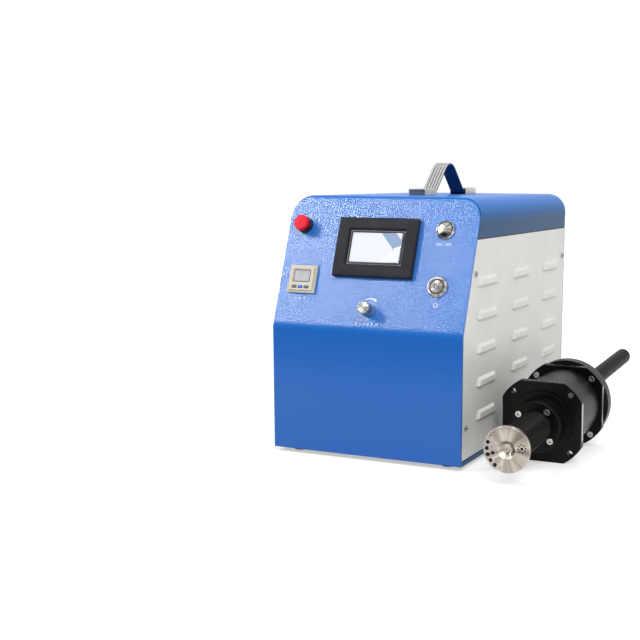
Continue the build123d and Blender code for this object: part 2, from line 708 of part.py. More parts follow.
def handle():
    """Strap handle: ribbed rubber strap, two pressed caps, two screws and their nuts."""
    line = strap_line()
    start = Plane(origin=line @ 0, x_dir=(1, 0, 0), z_dir=line % 0)
    profile = Rectangle(STRAP_W, STRAP_T)
    pitch = (STRAP_W - STRAP_RIB_W - STRAP_SIDE_MARGIN) / (STRAP_RIBS - 1)
    low = -STRAP_T / 2
    for i in range(STRAP_RIBS):
        x = (i - (STRAP_RIBS - 1) / 2) * pitch
        foot, crest = STRAP_RIB_W / 2, STRAP_RIB_W / 4
        rib = Polyline((x - foot, low), (x - crest, low - STRAP_RIB_RISE), (x + crest, low - STRAP_RIB_RISE),
                       (x + foot, low), close=True)
        profile += make_face(rib)
    strap = sweep(start * profile, path=line)
    screws = []
    caps = []
    z_seat = COVER_TOP + STRAP_SEAT
    for sign, y in zip((-1, 1), handle_screw_places()):
        strap -= rod(HANDLE_SCREW_R + FIT, COVER_TOP - 5, COVER_TOP + CAP_H + 5, 0, y)
        spacer = ring(HANDLE_SPACER_R, HANDLE_SCREW_R + FIT, COVER_TOP, z_seat, 0, y)
        head_z = z_seat + STRAP_T + STRAP_RIB_RISE
        head = rod(HANDLE_HEAD_R, head_z, head_z + HANDLE_HEAD_T, 0, y)
        shank = rod(HANDLE_SCREW_R, COVER_TOP - COVER_T - HANDLE_NUT_T, head_z, 0, y)
        nut_top = COVER_TOP - COVER_T
        nut = ring(HANDLE_NUT_R, HANDLE_SCREW_R + FIT, nut_top - HANDLE_NUT_T, nut_top, 0, y)
        screws += [head + shank, spacer, nut]
        inner = HANDLE_Y + sign * HANDLE_INNER_GAP / 2
        outer = inner + sign * CAP_L
        y0, y1 = sorted((inner, outer))
        cap = Pos(0, (y0 + y1) / 2, COVER_TOP) * extrude(RectangleRounded(CAP_W, CAP_L, CAP_CORNER_R), CAP_H)
        cap = chamfer(cap.faces().sort_by(Axis.Z)[-1].edges(), CAP_CHAMFER)
        h0, h1 = sorted((inner - sign * CUT, outer - sign * CAP_WALL))
        hollow_x = CAP_W / 2 - CAP_WALL
        cap -= box(-hollow_x, hollow_x, h0, h1, COVER_TOP - CUT, COVER_TOP + CAP_H - CAP_WALL)
        caps.append(cap)
    keep("handle_strap", strap)
    keep("handle_caps", *caps)
    SCREWS.extend(screws)


def touch_panel():
    """Operator screen: raised frame, recessed glass and the housing behind the panel."""
    frame = slab(SCREEN_FRAME_W, SCREEN_FRAME_H, SCREEN_CORNER_R, 0, SCREEN_FRAME_T)
    frame = chamfer(frame.faces().sort_by(Axis.Z)[-1].edges(), SCREEN_CHAMFER)
    narrow = Rectangle(SCREEN_WINDOW_W, SCREEN_WINDOW_H)
    wide = Rectangle(SCREEN_WINDOW_W + SCREEN_FLARE, SCREEN_WINDOW_H + SCREEN_FLARE)
    glass_top = SCREEN_FRAME_T - SCREEN_RECESS
    window = loft(Sketch() + [Pos(0, 0, glass_top) * narrow, Pos(0, 0, SCREEN_FRAME_T) * wide])
    glass_w = SCREEN_WINDOW_W + SCREEN_MARGIN
    glass_h = SCREEN_WINDOW_H + SCREEN_MARGIN
    glass_low = glass_top - SCREEN_GLASS_T
    frame = frame - window - slab(glass_w + 2 * FIT, glass_h + 2 * FIT, 1, glass_low, glass_top)
    frame -= slab(SCREEN_WINDOW_W, SCREEN_WINDOW_H, 1, -1, glass_top)
    glass = slab(glass_w, glass_h, 1, glass_low, glass_top)
    body = slab(SCREEN_BODY_W, SCREEN_BODY_H, 1, -SCREEN_BODY_D, 0)
    body += slab(SCREEN_WINDOW_W - 2 * FIT, SCREEN_WINDOW_H - 2 * FIT, 1, 0, glass_low)
    keep("screen_frame", on_slope(SCREEN_AT, frame))
    keep("screen_glass", on_slope(SCREEN_AT, glass))
    keep("screen_housing", on_slope(SCREEN_AT, body))


def gas_meter():
    """Digital gas meter: stepped bezel, display, three keys and the body behind."""
    top = METER_BASE_T + METER_STEP_T
    bezel = slab(METER_W, METER_H, METER_CORNER_R, 0, METER_BASE_T)
    bezel += slab(METER_W - 2 * METER_STEP, METER_H - 2 * METER_STEP, METER_CORNER_R, METER_BASE_T, top)
    lcd_top = top - METER_LCD_SINK
    bezel -= slab(METER_LCD_W, METER_LCD_H, METER_CORNER_R, lcd_top, top + CUT, 0, METER_LCD_UP)
    lcd_low = lcd_top - METER_LCD_T - FIT
    lcd_w, lcd_h = METER_LCD_W - METER_LCD_LIP, METER_LCD_H - METER_LCD_LIP
    bezel -= slab(lcd_w, lcd_h, METER_CORNER_R, lcd_low, lcd_top + FIT, 0, METER_LCD_UP)
    lcd = slab(lcd_w - 2 * FIT, lcd_h - 2 * FIT, METER_CORNER_R, lcd_low, lcd_top, 0, METER_LCD_UP)
    key_top = top + METER_KEY_PROUD
    for i, name in enumerate(("meter_key_left", "meter_key_middle", "meter_key_right")):
        x = (i - 1) * METER_KEY_PITCH
        pocket_floor = key_top - METER_KEY_T - KEY_TRAVEL - KEY_GAP
        pocket_w, pocket_h = METER_KEY_W + 2 * KEY_GAP, METER_KEY_H + 2 * KEY_GAP
        bezel -= slab(pocket_w, pocket_h, METER_CORNER_R, pocket_floor, top + CUT, x, METER_KEY_UP)
        key = slab(METER_KEY_W, METER_KEY_H, METER_CORNER_R, key_top - METER_KEY_T, key_top, x, METER_KEY_UP)
        key = chamfer(key.faces().sort_by(Axis.Z)[-1].edges(), KEY_CHAMFER)
        keep(name, on_slope(METER_AT, key))
    body = slab(METER_BODY_W, METER_BODY_H, 1, -METER_BODY_D, 0)
    port = rod(METER_PORT_R, -METER_BODY_D - METER_PORT_L, -METER_BODY_D, METER_PORT_X, 0)
    keep("meter_bezel", on_slope(METER_AT, bezel))
    keep("meter_display", on_slope(METER_AT, lcd))
    keep("meter_body", on_slope(METER_AT, body + port))


def metal_button(name, at, bezel_r, cap_r, cap_h, barrel_r, dome_rise):
    """Metal push button: bezel with barrel and nut, moving cap, and contact block."""
    bore = cap_r + BUTTON_GAP
    top = BUTTON_BEZEL_T
    outline = Polyline((bore, -BUTTON_BARREL_L), (barrel_r, -BUTTON_BARREL_L), (barrel_r, 0), (bezel_r, 0),
                       (bezel_r, top * BUTTON_EDGE_SHARE), (bezel_r - BUTTON_SLOPE, top),
                       (bore + BUTTON_LIP, top), (bore, top - BUTTON_LIP_DEPTH), close=True)
    bezel = revolve(Plane.XZ * make_face(outline), Axis.Z)
    nut = Pos(0, 0, -PANEL_T - BUTTON_NUT_T) * extrude(RegularPolygon(BUTTON_NUT_R, 6), BUTTON_NUT_T)
    nut -= rod(barrel_r + FIT, -PANEL_T - BUTTON_NUT_T - CUT, CUT)
    rim = [(cap_r * share, cap_h - dome_rise * share ** 2) for share in (1.0, 0.8, 0.55, 0.3)]
    outline = Polyline((0, -BUTTON_STEM_L), (cap_r, -BUTTON_STEM_L), *rim, (0, cap_h), close=True)
    cap = revolve(Plane.XZ * make_face(outline), Axis.Z)
    block_top = -BUTTON_BARREL_L
    block_low = block_top - BUTTON_BLOCK_L
    block = rod(barrel_r - CONTACT_INSET, block_low, block_top)
    for x in (-TAB_PITCH, 0, TAB_PITCH):
        block += box(x - TAB_T / 2, x + TAB_T / 2, -TAB_W / 2, TAB_W / 2, block_low - TAB_L, block_low)
    keep(name + "_bezel", on_slope(at, bezel))
    keep(name + "_cap", on_slope(at, cap))
    NUTS.append(on_slope(at, nut))
    CONTACTS.append(on_slope(at, block))


def stop_button():
    """Red push button: black base ring, red head on its stem, and contact block."""
    bore = STOP_STEM_R + BUTTON_GAP
    base = ring(STOP_BASE_R, bore, 0, STOP_BASE_T) + ring(STOP_BARREL_R, bore, -BUTTON_BARREL_L, 0)
    head_low = STOP_BASE_T + STOP_TRAVEL + STOP_REST_GAP
    head = rod(STOP_HEAD_R, head_low, head_low + STOP_HEAD_T)
    head = chamfer(head.edges().sort_by(Axis.Z)[-1], STOP_CHAMFER)
    head += rod(STOP_STEM_R, -BUTTON_STEM_L, head_low)
    block = rod(STOP_BARREL_R - CONTACT_INSET, -BUTTON_BARREL_L - BUTTON_BLOCK_L, -BUTTON_BARREL_L)
    keep("stop_button_base", on_slope(STOP_AT, base))
    keep("stop_button_head", on_slope(STOP_AT, head))
    CONTACTS.append(on_slope(STOP_AT, block))


def power_knob():
    """Fluted aluminium knob on the shaft of a panel potentiometer."""
    low = KNOB_LIFT
    knob = rod(KNOB_R, low, low + KNOB_L)
    high = low + KNOB_L
    knob = chamfer(knob.edges().sort_by(Axis.Z)[-1], KNOB_CHAMFER)
    wedge = extrude(Rot(0, 0, 180) * RegularPolygon(KNOB_FLUTE_R, 3), KNOB_L)
    wedge = Pos(KNOB_R + KNOB_FLUTE_OUT, 0, low + KNOB_FLUTE_LOW) * wedge
    for i in range(KNOB_FLUTES):
        knob -= Rot(0, 0, i * 360 / KNOB_FLUTES) * wedge
    knob -= rod(POT_SHAFT_R, low - CUT, high - KNOB_SKIN)
    shaft = rod(POT_SHAFT_R, -PANEL_T - POT_SHAFT_TAIL, high - KNOB_SKIN)
    bush = ring(POT_BUSH_R, POT_SHAFT_R + FIT, -PANEL_T, POT_BUSH_PROUD)
    body = rod(POT_BODY_R, -PANEL_T - POT_BODY_L, -PANEL_T)
    body -= rod(POT_SHAFT_R + FIT, -PANEL_T - POT_BORE_L, -PANEL_T + CUT)
    tab_z = -PANEL_T - POT_SHAFT_TAIL
    tab = box(-POT_TAB_W / 2, POT_TAB_W / 2, -POT_BODY_R - POT_TAB_L, -POT_BODY_R / 2,
              tab_z, tab_z + POT_TAB_T)
    for x in (-POT_TAB_PITCH, 0, POT_TAB_PITCH):
        body += Pos(x, 0, 0) * tab
    keep("power_knob", on_slope(KNOB_AT, knob))
    keep("potentiometer_shaft", on_slope(KNOB_AT, shaft))
    keep("potentiometer", on_slope(KNOB_AT, body + bush))


def rear_fan():
    """Cooling fan behind the rear panel: frame, bladed rotor and outer wire guard."""
    back = -REAR_T
    front = back - FAN_T
    plate = front + FAN_PLATE_T
    frame = slab(FAN_SIZE, FAN_SIZE, FAN_CORNER_R, front, back) - rod(FAN_BORE_R, front - CUT, back + CUT)
    strut = box(FAN_HUB_R - FAN_STRUT_ROOT, FAN_BORE_R + FAN_ROOT, -FAN_STRUT_W / 2, FAN_STRUT_W / 2,
                front, plate)
    for angle in DIAGONALS:
        frame += Rot(0, 0, angle) * strut
    frame += rod(FAN_HUB_R, front, plate)
    frame += rod(FAN_SHAFT_R, plate, back - FAN_SHAFT_FRONT)
    reach = FAN_BOLT_PITCH / sqrt(2)
    for angle in DIAGONALS:
        frame -= Rot(0, 0, angle) * rod(FAN_BOLT_HOLE_R, front - CUT, back + CUT, reach, 0)
    rotor_low = plate + FAN_ROTOR_GAP
    rotor_high = back - FAN_ROTOR_FRONT
    rotor = rod(FAN_HUB_R, rotor_low, rotor_high)
    blade = box(FAN_HUB_R - FAN_ROOT, FAN_BLADE_R, -FAN_BLADE_T / 2, FAN_BLADE_T / 2,
                -FAN_BLADE_W / 2, FAN_BLADE_W / 2)
    blade = Pos(0, 0, (rotor_low + rotor_high) / 2) * Rot(FAN_BLADE_ANGLE, 0, 0) * blade
    for i in range(FAN_BLADES):
        rotor += Rot(0, 0, i * 360 / FAN_BLADES) * blade
    rotor -= rod(FAN_SHAFT_R + FIT, rotor_low - CUT, back - FAN_SHAFT_FRONT + CUT)
    wires = []
    last_r = FAN_BORE_R + GUARD_LAST_MARGIN
    for i in range(GUARD_RINGS):
        radius = GUARD_FIRST_R + i * (last_r - GUARD_FIRST_R) / (GUARD_RINGS - 1)
        section = Plane.XZ * (Pos(radius, GUARD_STANDOFF) * RegularPolygon(GUARD_WIRE_R, 6))
        wires.append(revolve(section, Axis.Z))
    arm_low, arm_high = GUARD_STANDOFF - GUARD_ARM_T / 2, GUARD_STANDOFF + GUARD_ARM_T / 2
    arm = box(GUARD_ARM_START, reach, -GUARD_ARM_W / 2, GUARD_ARM_W / 2, arm_low, arm_high)
    for angle in DIAGONALS:
        wires.append(Rot(0, 0, angle) * arm)
        wires.append(Rot(0, 0, angle) * ring(GUARD_EYE_R, GUARD_EYE_BORE_R, 0, arm_high, reach, 0))
    guard = wires[0].fuse(*wires[1:])
    bolts = []
    for angle in DIAGONALS:
        guard -= Rot(0, 0, angle) * rod(GUARD_EYE_BORE_R, -CUT, arm_high + CUT, reach, 0)
        bolt = rod(FAN_BOLT_R, back - FAN_BOLT_L, arm_high, reach, 0)
        bolt += rod(FAN_BOLT_HEAD_R, arm_high, arm_high + FAN_BOLT_HEAD_T, reach, 0)
        bolts.append(on_rear(FAN_AT, Rot(0, 0, angle) * bolt))
    keep("fan_frame", on_rear(FAN_AT, frame))
    keep("fan_rotor", on_rear(FAN_AT, rotor))
    keep("fan_guard", on_rear(FAN_AT, guard))
    SCREWS.extend(bolts)


def mains_inlet():
    """Mains inlet with a recessed three-pin well."""
    body_w, body_h = INLET_HOLE_W + 2 * INLET_BODY_WALL, INLET_HOLE_H + 2 * INLET_BODY_WALL
    body = slab(INLET_W, INLET_H, INLET_CORNER_R, 0, INLET_FLANGE_T)
    body += slab(body_w, body_h, INLET_BODY_R, -INLET_BODY_D, 0)
    half_w, half_h = INLET_HOLE_W / 2, INLET_HOLE_H / 2
    short_w, short_h = half_w - INLET_CUT_CORNER, half_h - INLET_CUT_CORNER
    well = Polyline((-half_w, -half_h), (half_w, -half_h), (half_w, short_h), (short_w, half_h),
                    (-short_w, half_h), (-half_w, short_h), close=True)
    floor = INLET_FLANGE_T - INLET_HOLE_D
    body -= Pos(0, 0, floor) * extrude(make_face(well), INLET_HOLE_D + CUT)
    pins = []
    half_t, half_pin = INLET_PIN_T / 2, INLET_PIN_W / 2
    pin = box(-half_t, half_t, -half_pin, half_pin, floor, floor + INLET_PIN_L)
    low_left, low_right = (-INLET_PIN_PITCH, -INLET_PIN_DROP), (INLET_PIN_PITCH, -INLET_PIN_DROP)
    for x, y in (low_left, (0, INLET_PIN_DROP), low_right):
        pins.append(on_rear(INLET_AT, Pos(x, y, 0) * pin))
    keep("mains_inlet", on_rear(INLET_AT, body))
    PINS.extend(pins)


def gas_inlet():
    """Push-in gas fitting with its flange nut."""
    body = ring(GAS_BODY_R, GAS_BORE_R, -GAS_TAIL_L, GAS_BODY_L)
    nut = extrude(RegularPolygon(GAS_NUT_R, 6), GAS_NUT_T) - rod(GAS_BODY_R + FIT, -CUT, GAS_NUT_T + CUT)
    keep("gas_inlet", on_rear(GAS_AT, body))
    NUTS.append(on_rear(GAS_AT, nut))


def gun_socket():
    """Round panel socket for the gun's lead, with four contacts."""
    body = slab(SOCKET_FLANGE, SOCKET_FLANGE, SOCKET_CORNER_R, 0, SOCKET_FLANGE_T)
    body += rod(SOCKET_R, -SOCKET_TAIL_L, SOCKET_L)
    floor = SOCKET_L - SOCKET_BORE_D
    body -= rod(SOCKET_BORE_R, floor, SOCKET_L + CUT)
    pin = rod(SOCKET_PIN_R, floor, floor + SOCKET_PIN_L, SOCKET_PIN_CIRCLE_R, 0)
    pins = [on_rear(SOCKET_AT, Rot(0, 0, angle) * pin) for angle in DIAGONALS]
    keep("gun_socket", on_rear(SOCKET_AT, body))
    PINS.extend(pins)


def inner_parts():
    """Power module, control board, high-voltage transformer, gas valve and hose."""
    y1 = MODULE_Y0 + MODULE_L
    x0, x1 = MODULE_X - MODULE_W / 2, MODULE_X + MODULE_W / 2
    module = box(x0, x1, MODULE_Y0, y1, TRAY_T, TRAY_T + MODULE_H)
    top = TRAY_T + MODULE_H
    for i in range(MODULE_SLOTS):
        y = MODULE_Y0 + MODULE_SLOT_Y + i * MODULE_SLOT_PITCH
        s0, s1 = x0 + MODULE_SLOT_MARGIN, x1 - MODULE_SLOT_MARGIN
        module -= box(s0, s1, y, y + MODULE_SLOT_W, top - MODULE_SLOT_DEPTH, top + CUT)
    keep("power_module", module)
    board_y = MODULE_Y0 + MODULE_L / 2
    posts = []
    board = box(MODULE_X - BOARD_W / 2, MODULE_X + BOARD_W / 2, board_y - BOARD_L / 2, board_y + BOARD_L / 2,
                top + BOARD_LIFT, top + BOARD_LIFT + BOARD_T)
    for sx in (-1, 1):
        for sy in (-1, 1):
            x, y = MODULE_X + sx * (BOARD_W / 2 - POST_INSET), board_y + sy * (BOARD_L / 2 - POST_INSET)
            posts.append(rod(POST_R, top, top + BOARD_LIFT, x, y))
    face = top + BOARD_LIFT + BOARD_T
    for (left, right), length, height in ((CHIP_X, CHIP_L, CHIP_H), (ROW_X, ROW_L, ROW_H)):
        y0, y1 = board_y - length / 2, board_y + length / 2
        board += box(MODULE_X + left, MODULE_X + right, y0, y1, face, face + height)
    keep("control_board", board, *posts)
    core = Pos(CORE_X, CORE_Y, TRAY_T + CORE_H / 2) * Box(CORE_W, CORE_L, CORE_H)
    window = (CORE_W - 2 * CORE_LEG, CORE_H - 2 * CORE_LEG)
    core -= box(CORE_X - window[0] / 2, CORE_X + window[0] / 2, CORE_Y - CORE_L, CORE_Y + CORE_L,
                TRAY_T + CORE_LEG, TRAY_T + CORE_H - CORE_LEG)
    keep("transformer_core", core)
    coils = []
    for sx in (-1, 1):
        x = CORE_X + sx * (CORE_W / 2 - CORE_LEG / 2)
        z0, z1 = TRAY_T + CORE_LEG + COIL_END_GAP, TRAY_T + CORE_H - CORE_LEG - COIL_END_GAP
        wide, deep = CORE_LEG / 2 + COIL_WALL, CORE_L / 2 + COIL_WALL
        bore_w, bore_d = CORE_LEG / 2 + COIL_FIT, CORE_L / 2 + COIL_FIT
        coil = box(x - wide, x + wide, CORE_Y - deep, CORE_Y + deep, z0, z1)
        coil -= box(x - bore_w, x + bore_w, CORE_Y - bore_d, CORE_Y + bore_d, z0 - CUT, z1 + CUT)
        coils.append(coil)
    keep("transformer_coils", *coils)
    valve_top = TRAY_T + VALVE_H
    valve = Pos(VALVE_X, VALVE_Y, TRAY_T + VALVE_H / 2) * Box(VALVE_W, VALVE_L, VALVE_H)
    solenoid = rod(VALVE_COIL_R, valve_top, valve_top + VALVE_COIL_H, VALVE_X, VALVE_Y)
    keep("gas_valve", valve + solenoid)


def plate_blank(z0, z1):
    """Square gun plate with its corners turned down to a circle."""
    square = extrude(Pos(0, 0, z0) * Rectangle(PLATE_SIZE, PLATE_SIZE), z1 - z0)
    return square & rod(PLATE_CORNER_R, z0, z1)


def corners(radius, angle=45.0):
    """Four places on a circle in the gun's cross-section."""
    return [(radius * cos(radians(angle + 90 * i)), radius * sin(radians(angle + 90 * i))) for i in range(4)]


def cap_screw(x, y, seat, length, head_h):
    """Socket cap screw on the gun's plates, its head standing on z = seat."""
    screw = rod(GUN_SCREW_R, seat - length, seat, x, y) + rod(BOSS_SCREW_R, seat, seat + head_h, x, y)
    socket = extrude(RegularPolygon(KEY_SOCKET_R, 6), KEY_SOCKET_DEPTH + CUT)
    return screw - Pos(x, y, seat + head_h - KEY_SOCKET_DEPTH) * socket


def gun_body():
    """Fixed part of the gun: plates, body tube, rear cap, boss, bearings and stator."""
    rear_face = -PLATE_T - BODY_L
    back = rear_face - PLATE_T
    cap_end = back - REAR_CAP_L
    front = plate_blank(-PLATE_T, 0) - rod(BEARING_R + FIT, -PLATE_T - CUT, CUT)
    edge, slot_low = PLATE_SIZE / 2, (-PLATE_T - PLATE_SLOT_W) / 2
    front -= box(edge - PLATE_SLOT_DEPTH, edge + CUT, -PLATE_SLOT_L / 2, PLATE_SLOT_L / 2,
                 slot_low, slot_low + PLATE_SLOT_W)
    for x, y in corners(PLATE_PCD / 2):
        front -= rod(PLATE_HOLE_R, -PLATE_T - 1, 1, x, y)
    keep("gun_front_plate", on_gun(front))
    rear = plate_blank(back, rear_face) - rod(BEARING_R + FIT, back - 1, rear_face + 1)
    for x, y in corners(PLATE_PCD / 2):
        rear -= rod(GUN_SCREW_BORE_R, back - CUT, rear_face + CUT, x, y)
    keep("gun_rear_plate", on_gun(rear))
    keep("gun_body_tube", on_gun(ring(BODY_R, BODY_R - BODY_WALL, rear_face, -PLATE_T)))
    cap = rod(REAR_CAP_R, cap_end, back)
    cap = chamfer(cap.edges().sort_by(Axis.Z)[0], REAR_CAP_CHAMFER)
    cap -= rod(REAR_CAP_R - REAR_CAP_RIM, cap_end + REAR_CAP_WALL, back + 1)
    cap -= rod(TAIL_R + FIT, cap_end - 1, cap_end + REAR_CAP_WALL + 1, *TAIL_AT)
    for x, y in corners(PLATE_PCD / 2):
        cap -= rod(GUN_SCREW_BORE_R, back - GUN_SCREW_BORE_L, back + CUT, x, y)
    keep("gun_rear_cap", on_gun(cap))
    bolts = []
    for x, y in corners(PLATE_PCD / 2):
        bolts.append(on_gun(cap_screw(x, y, rear_face, PLATE_T + GUN_SCREW_L, GUN_SCREW_HEAD_H)))
    boss = ring(BOSS_FOOT_R, SPINDLE_R + FIT, 0, BOSS_FOOT_T)
    boss += ring(BOSS_R, SPINDLE_R + FIT, BOSS_FOOT_T, BOSS_L)
    rim = boss.edges().filter_by(GeomType.CIRCLE).filter_by_position(Axis.Z, BOSS_L - FIT, BOSS_L + FIT)
    boss = chamfer(rim.sort_by(SortBy.RADIUS)[-1], BOSS_CHAMFER)
    for x, y in corners(BOSS_SCREW_CIRCLE, 45 + BOSS_SCREW_TURN):
        boss -= rod(GUN_SCREW_BORE_R, BOSS_L - BOSS_SCREW_BORE_L, BOSS_L + CUT, x, y)
        bolts.append(on_gun(cap_screw(x, y, BOSS_L, BOSS_SCREW_L, BOSS_SCREW_H)))
    keep("gun_boss", on_gun(boss))
    keep("gun_bolts", *bolts)
    keep("gun_bearings", on_gun(ring(BEARING_R, SPINDLE_R + FIT, -BEARING_T, 0)),
         on_gun(ring(BEARING_R, SPINDLE_R + FIT, back, back + BEARING_T)))
    mid = (rear_face - PLATE_T) / 2
    stator = ring(BODY_R - BODY_WALL - FIT, ROTOR_R + AIR_GAP, mid - STATOR_L / 2, mid + STATOR_L / 2)
    keep("gun_motor_stator", on_gun(stator))
    tail = ring(TAIL_R, TAIL_BORE_R, cap_end - TAIL_L, cap_end + REAR_CAP_WALL, *TAIL_AT)
    keep("gun_rear_tube", on_gun(tail))
    holder = ring(HOLDER_R, ELECTRODE_R + PRESS_FIT, back - HOLDER_T, back)
    keep("electrode_holder", on_gun(holder))
    keep("electrode", on_gun(rod(ELECTRODE_R, back - ELECTRODE_TAIL, BOSS_L + TUBE_L - ELECTRODE_END)))


def gun_rotor():
    """Turning part of the gun: spindle, motor rotor, black tube, collar and nozzle disc."""
    rear_face = -PLATE_T - BODY_L
    back = rear_face - PLATE_T
    tube_start = BOSS_L + RUN_GAP
    tube_end = tube_start + TUBE_L
    keep("gun_spindle", on_gun(ring(SPINDLE_R, SPINDLE_BORE_R, back + SPINDLE_END, tube_start)))
    mid = (rear_face - PLATE_T) / 2
    rotor = ring(ROTOR_R, SPINDLE_R + PRESS_FIT, mid - STATOR_L / 2, mid + STATOR_L / 2)
    keep("gun_motor_rotor", on_gun(rotor))
    keep("nozzle_tube", on_gun(ring(TUBE_R, SPINDLE_BORE_R, tube_start, tube_end)))
    collar_end = tube_end + COLLAR_L
    keep("nozzle_collar", on_gun(ring(COLLAR_R, SPINDLE_BORE_R, tube_end, collar_end)))
    face = collar_end + DISC_T
    disc = rod(DISC_R, collar_end, face)
    disc = chamfer(disc.edges().sort_by(Axis.Z)[-1], DISC_CHAMFER)
    bowl = Cone(DISC_BOWL_R * BOWL_SHARE, DISC_BOWL_R, DISC_BOWL_DEPTH)
    disc -= Pos(0, 0, face - DISC_BOWL_DEPTH / 2) * bowl
    jet = Rot(-JET_ANGLE, 0, 0) * Cylinder(JET_R, DISC_T * 4)
    disc -= Pos(JET_SIDE, -JET_OFFSET, face - DISC_T / 2) * jet
    for i in range(CLUSTER_HOLES):
        a = radians(360 * i / CLUSTER_HOLES)
        x, y = CLUSTER_AT[0] + CLUSTER_CIRCLE_R * cos(a), CLUSTER_AT[1] + CLUSTER_CIRCLE_R * sin(a)
        disc -= rod(CLUSTER_HOLE_R, face - CLUSTER_DEPTH, face + CUT, x, y)
    disc -= rod(CLUSTER_MIDDLE_R, face - CLUSTER_DEPTH, face + CUT, *CLUSTER_AT)
    for i in range(BALANCE_HOLES):
        a = radians(180 + BALANCE_STEP * (i - (BALANCE_HOLES - 1) / 2) + BALANCE_TURN)
        x, y = BALANCE_CIRCLE_R * cos(a), BALANCE_CIRCLE_R * sin(a)
        disc -= rod(BALANCE_HOLE_R, face - BALANCE_DEPTH, face + CUT, x, y)
    keep("nozzle_disc", on_gun(disc))


def build():
    """Make every node."""
    front_panel()
    top_cover()
    side_panels()
    side_screws()
    seam_gaskets()
    base_tray()
    feet()
    corner_brackets()
    rear_panel()
    handle()
    touch_panel()
    gas_meter()
    metal_button("run_button", RUN_AT, RUN_BEZEL_R, RUN_CAP_R, RUN_CAP_H, RUN_BARREL_R, RUN_DOME)
    metal_button("power_button", POWER_AT, POWER_BEZEL_R, POWER_CAP_R, POWER_CAP_H, POWER_BARREL_R,
                 POWER_DOME)
    stop_button()
    power_knob()
    rear_fan()
    mains_inlet()
    gas_inlet()
    gun_socket()
    inner_parts()
    gun_body()
    gun_rotor()
    keep("housing_screws", *SCREWS)
    keep("panel_nuts", *NUTS)
    keep("button_contacts", *CONTACTS)
    keep("contact_pins", *PINS)


build()
whole = Compound(children=[Compound(s.wrapped) for s in PARTS.values()]).bounding_box()
SHIFT = Vector(-(whole.min.X + whole.max.X) / 2, -(whole.min.Y + whole.max.Y) / 2, FOOT_H)
os.makedirs("parts", exist_ok=True)
for name, shape in PARTS.items():
    export_step(Pos(*SHIFT) * shape, f"parts/{name}.step")
print("nodes", len(PARTS), "shift", SHIFT, "size", whole.size)
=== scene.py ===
# %% [markdown]
# # A plasma generator and its rotary gun, dressed for the studio
# The construction is already packed as a frame: every panel, bracket and shaft has its real place and size.
# This notebook gives those pieces their finishes, adds the thin details that a solid model leaves out, and
# then lights the set and puts a camera in front of it. Blender works in metres. Values that end in _MM, and
# every point that is given in the frame of a panel or of the gun, are millimetres.

# %% Load the frame
import json
import math

import bmesh
import bpy
import numpy as np
from mathutils import Matrix, Vector

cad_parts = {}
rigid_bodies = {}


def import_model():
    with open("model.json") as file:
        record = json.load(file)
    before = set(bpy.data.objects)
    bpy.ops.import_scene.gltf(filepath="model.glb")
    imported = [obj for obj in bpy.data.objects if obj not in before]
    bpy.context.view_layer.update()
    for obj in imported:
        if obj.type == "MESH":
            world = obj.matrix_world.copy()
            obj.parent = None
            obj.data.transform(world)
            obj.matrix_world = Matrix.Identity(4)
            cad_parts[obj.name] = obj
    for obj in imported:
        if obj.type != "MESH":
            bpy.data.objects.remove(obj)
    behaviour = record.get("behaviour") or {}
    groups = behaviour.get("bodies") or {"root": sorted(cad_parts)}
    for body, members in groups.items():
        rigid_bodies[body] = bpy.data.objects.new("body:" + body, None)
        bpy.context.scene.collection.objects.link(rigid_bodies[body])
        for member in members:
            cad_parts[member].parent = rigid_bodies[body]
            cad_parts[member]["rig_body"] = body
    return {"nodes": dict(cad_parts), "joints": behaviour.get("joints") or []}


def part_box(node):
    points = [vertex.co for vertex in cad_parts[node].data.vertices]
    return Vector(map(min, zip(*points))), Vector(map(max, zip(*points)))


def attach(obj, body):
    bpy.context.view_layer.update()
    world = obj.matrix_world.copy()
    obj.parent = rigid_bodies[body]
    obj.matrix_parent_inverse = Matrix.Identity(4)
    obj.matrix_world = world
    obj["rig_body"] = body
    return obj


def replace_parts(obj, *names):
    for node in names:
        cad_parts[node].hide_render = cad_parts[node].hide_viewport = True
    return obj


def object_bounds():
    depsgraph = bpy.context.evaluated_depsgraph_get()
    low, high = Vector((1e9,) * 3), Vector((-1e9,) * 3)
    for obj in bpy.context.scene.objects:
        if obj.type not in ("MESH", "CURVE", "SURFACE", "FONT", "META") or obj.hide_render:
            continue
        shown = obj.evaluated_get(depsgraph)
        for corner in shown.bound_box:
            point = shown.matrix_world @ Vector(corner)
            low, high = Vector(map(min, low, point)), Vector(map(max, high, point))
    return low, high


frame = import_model()
cad_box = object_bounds()
nodes = frame["nodes"]
joints = {joint["name"]: joint for joint in frame["joints"]}
MM = 0.001

# %% [markdown]
# ## Four places to work in
# A detail is easiest to build flat and near zero, and then to carry to its place. So there are four homes:
# the slanted control panel, the gun, the rear panel and the plain upright frame. Each is an origin and three
# axes. The panel's slope comes from the direction in which its buttons are pressed, and the gun's axis from
# the joint of its spinning nozzle, so no angle is typed in. The gun's zero is set so that the face of its
# nozzle disc stands at the distance measured from the front plate.

# %% Homes
FOLD_MM = 151.0
DISC_FACE_MM = 126.6
RIGHT = np.array([1.0, 0.0, 0.0])
BACK = np.array([0.0, 1.0, 0.0])
UP = np.array([0.0, 0.0, 1.0])


def carry(points_mm, home):
    """Millimetre points in a home to world metres: origin + x * axis_x + y * axis_y + z * axis_z."""
    origin, axes = home
    return origin + MM * (np.asarray(points_mm, float) @ axes)


def vertex_places(mesh):
    """All vertices of a mesh as rows of an array."""
    co = np.empty(len(mesh.vertices) * 3)
    mesh.vertices.foreach_get("co", co)
    return co.reshape(-1, 3)


def span(name, home):
    """Lowest and highest corner of a CAD node, in a home's own millimetres."""
    origin, axes = home
    local = (vertex_places(nodes[name].data) - origin) @ axes.T / MM
    return local.min(0), local.max(0)


